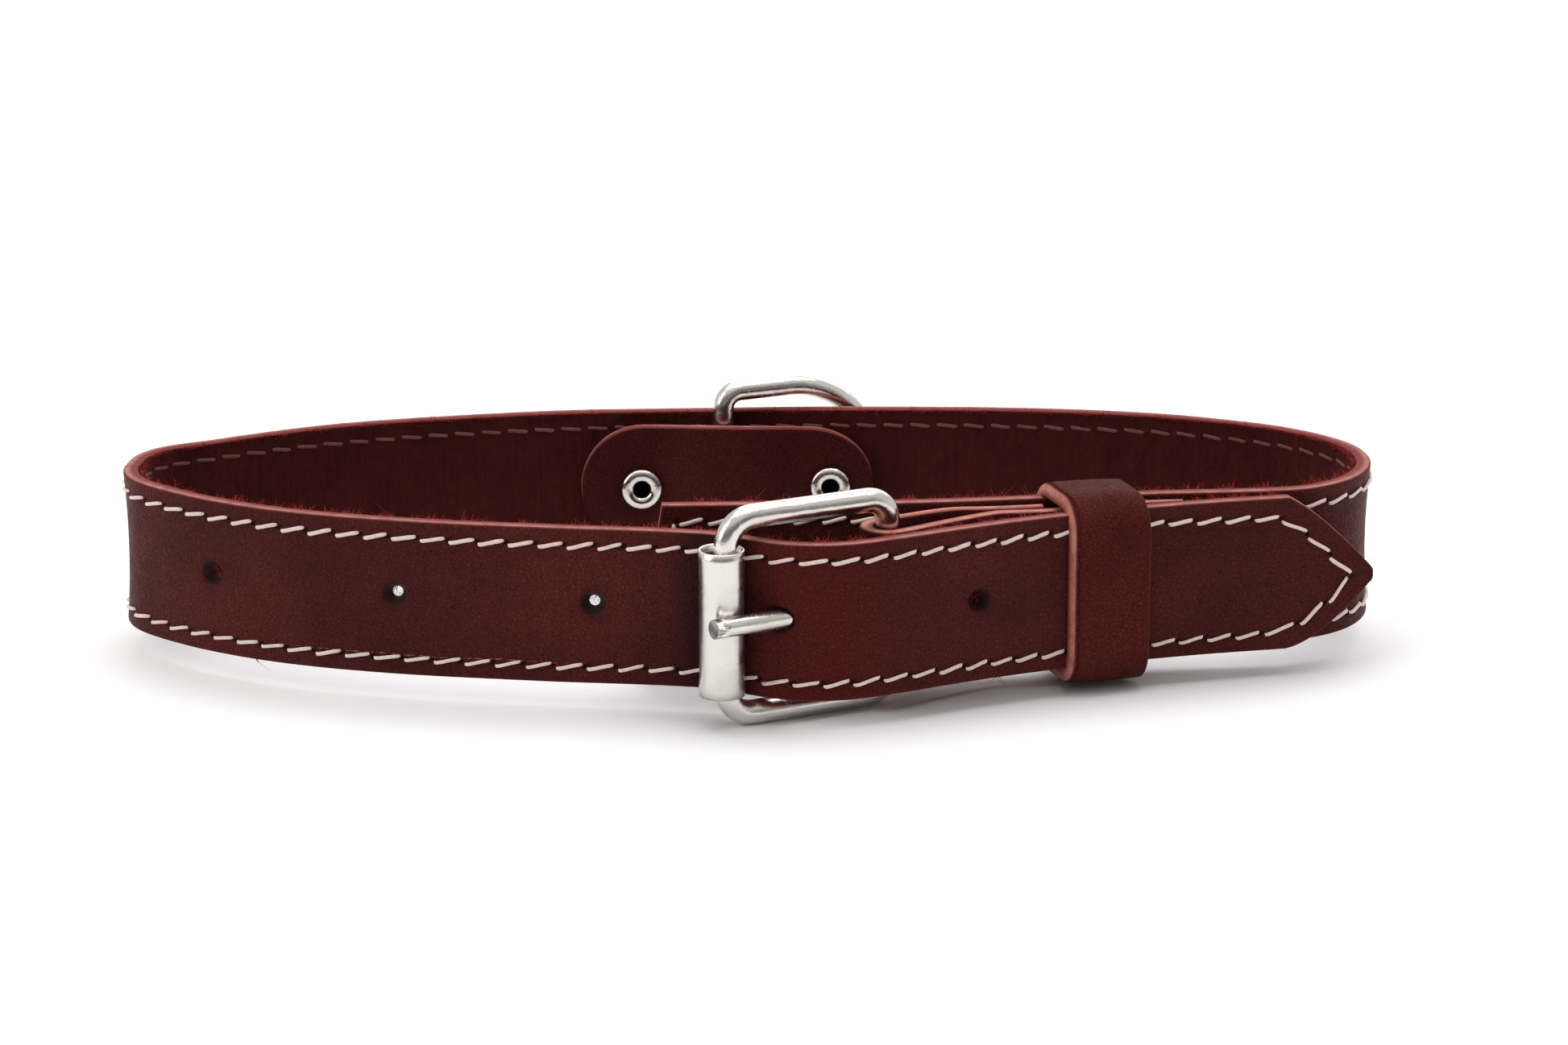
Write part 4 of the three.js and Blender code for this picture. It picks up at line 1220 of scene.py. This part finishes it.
# Loose fibres: clumps along the cut edges, a fringe in each open hole, and a few stray tufts.
def makeFuzz():
    template = fibreTemplate()
    bm = bmesh.new()
    top = strap["bottom"] + strap["width"]

    def addFibre(x, y, z, lean, length, radius, curl):
        bow = Vector((random.uniform(-1, 1), random.uniform(-0.6, 1), random.uniform(-0.3, 0.6))) * curl
        for vert in addCopy(bm, template):
            t = vert.co.z
            spot = Vector((x, y, z)) + lean * (length * t) + bow * (length * t * t)
            vert.co = (spot.x + vert.co.x * radius, spot.y + vert.co.y * radius, spot.z)

    for _ in range(fuzz["count"]):
        x = random.uniform(6, strap["length"] - 16)
        clump = noise.noise(Vector((x * 0.35, 1, 1)))
        if clump < -0.15 + 0.3 * random.random():
            continue
        lean = Vector((random.uniform(-1.3, 1.3), random.uniform(0, 1), random.uniform(0.1, 0.9))).normalized()
        low = random.random() < 0.25
        z = strap["bottom"] + fuzz["inset"] if low else top - fuzz["inset"] - abs(random.gauss(0, 0.25))
        if low:
            lean.z = -0.3 * lean.z
        reach = random.uniform(*fuzz["length"]) * (2 if random.random() < 0.02 else 1)
        addFibre(x, fuzz["inwards"], z, lean, reach, fuzz["radius"], 1.0)
    for hx, hz, _, _ in strapHoles()[:-3]:
        for _ in range(fuzz["perHole"]):
            angle = random.uniform(0, 2 * pi)
            edge = Vector((cos(angle), 0, sin(angle)))
            aim = -edge + Vector((random.uniform(-0.7, 0.7), random.uniform(-0.35, 0.25), random.uniform(-0.7, 0.7)))
            x, z = hx + edge.x * fuzz["holeEdge"], hz + edge.z * fuzz["holeEdge"]
            y = random.uniform(0.4, 1.15)
            length = random.uniform(*fuzz["holeLength"])
            addFibre(x, y, z, aim.normalized(), length, fuzz["fineRadius"], 0.4)
    for x, z, y in fuzz["stray"]:
        for _ in range(3):
            lean = Vector((random.uniform(-0.5, 0.8), random.uniform(-0.4, 0.2), -0.7 if z < 10 else 0.5))
            root = x + random.uniform(-0.3, 0.3)
            length = random.uniform(*fuzz["strayLength"])
            addFibre(root, y, z + 0.1, lean.normalized(), length, fuzz["fineRadius"], 0.7)
    wrapOnStrap(bm.verts)
    faceOutwards(bm)
    finishPiece(bm, "looseFibres", "collar", ["fuzz"])
    bpy.data.meshes.remove(template)


makeFuzz()

studio = {"floor": colour(0.86, 0.855, 0.86), "floorShade": colour(0.85, 0.845, 0.855), "sky": 0.75, "roomDark": 0.19}


def makeFloor():
    material, tree, shader = startMaterial("paperFloor", Specular_IOR_Level=0.1, Roughness=0.9)
    drift = useEffect(tree, "drift", Place=objectPlace(tree), Patch_mm=60)
    dress(tree, shader, blend(tree, drift["Tone"], studio["floor"], studio["floorShade"]), [])
    bm = bmesh.new()
    bmesh.ops.create_grid(bm, x_segments=2, y_segments=2, size=4)
    mesh = toMesh(bm, "studioFloor")
    mesh.materials.append(material)
    addObject("studioFloor", mesh)


def softLight(name, location, aim, size, power):
    lamp = bpy.data.lights.new(name, "AREA")
    lamp.shape = "RECTANGLE"
    lamp.size, lamp.size_y = size
    lamp.energy = power
    holder = addObject(name, lamp)
    holder.location = location
    holder.rotation_euler = (Vector(aim) - Vector(location)).to_track_quat("-Z", "Y").to_euler()


# Even white surroundings, darker on the viewer's side of the room.
def makeRoom():
    world = bpy.data.worlds.new("studioRoom")
    world.use_nodes = True
    tree = world.node_tree
    direction = put(tree, "SeparateXYZ", {0: put(tree, "TexCoord").outputs["Generated"]})
    towardsViewer = remap(tree, direction.outputs[1], -0.1, -0.75)
    high = remap(tree, direction.outputs[2], 0.75, 0.3)
    shade = calc(tree, "MULTIPLY", towardsViewer, high)
    light = calc(tree, "MULTIPLY_ADD", shade, studio["roomDark"] - studio["sky"], studio["sky"])
    background = tree.nodes["Background"]
    background.inputs["Color"].default_value = colour(1, 0.99, 0.985)
    tree.links.new(light, background.inputs["Strength"])
    bpy.context.scene.world = world


makeFloor()
makeRoom()
softLight("overheadSoftbox", (0.05, 0.15, 1.1), (0, 0, 0), (1.3, 1.1), 11)
softLight("leftSoftbox", (-0.9, -0.35, 0.55), (0, -0.03, 0.02), (0.6, 0.8), 3.2)
softLight("rearSoftbox", (0.3, 1.2, 0.7), (0, 0, 0.02), (1.4, 0.6), 4)


def aimCamera():
    rise = radians(view["rise"])
    aim = Vector(view["aim"]) / 1000
    lens = bpy.data.cameras.new("photoCamera")
    lens.lens = view["lens"]
    lens.sensor_width = 36
    lens.clip_start = 0.01
    holder = addObject("photoCamera", lens)
    holder.location = aim + Vector((0, -cos(rise), sin(rise))) * view["distance"] / 1000
    holder.rotation_euler = (pi / 2 - rise, 0, 0)
    bpy.context.scene.camera = holder


aimCamera()
bpy.context.scene.view_settings.view_transform = "Standard"
print("studio ready")
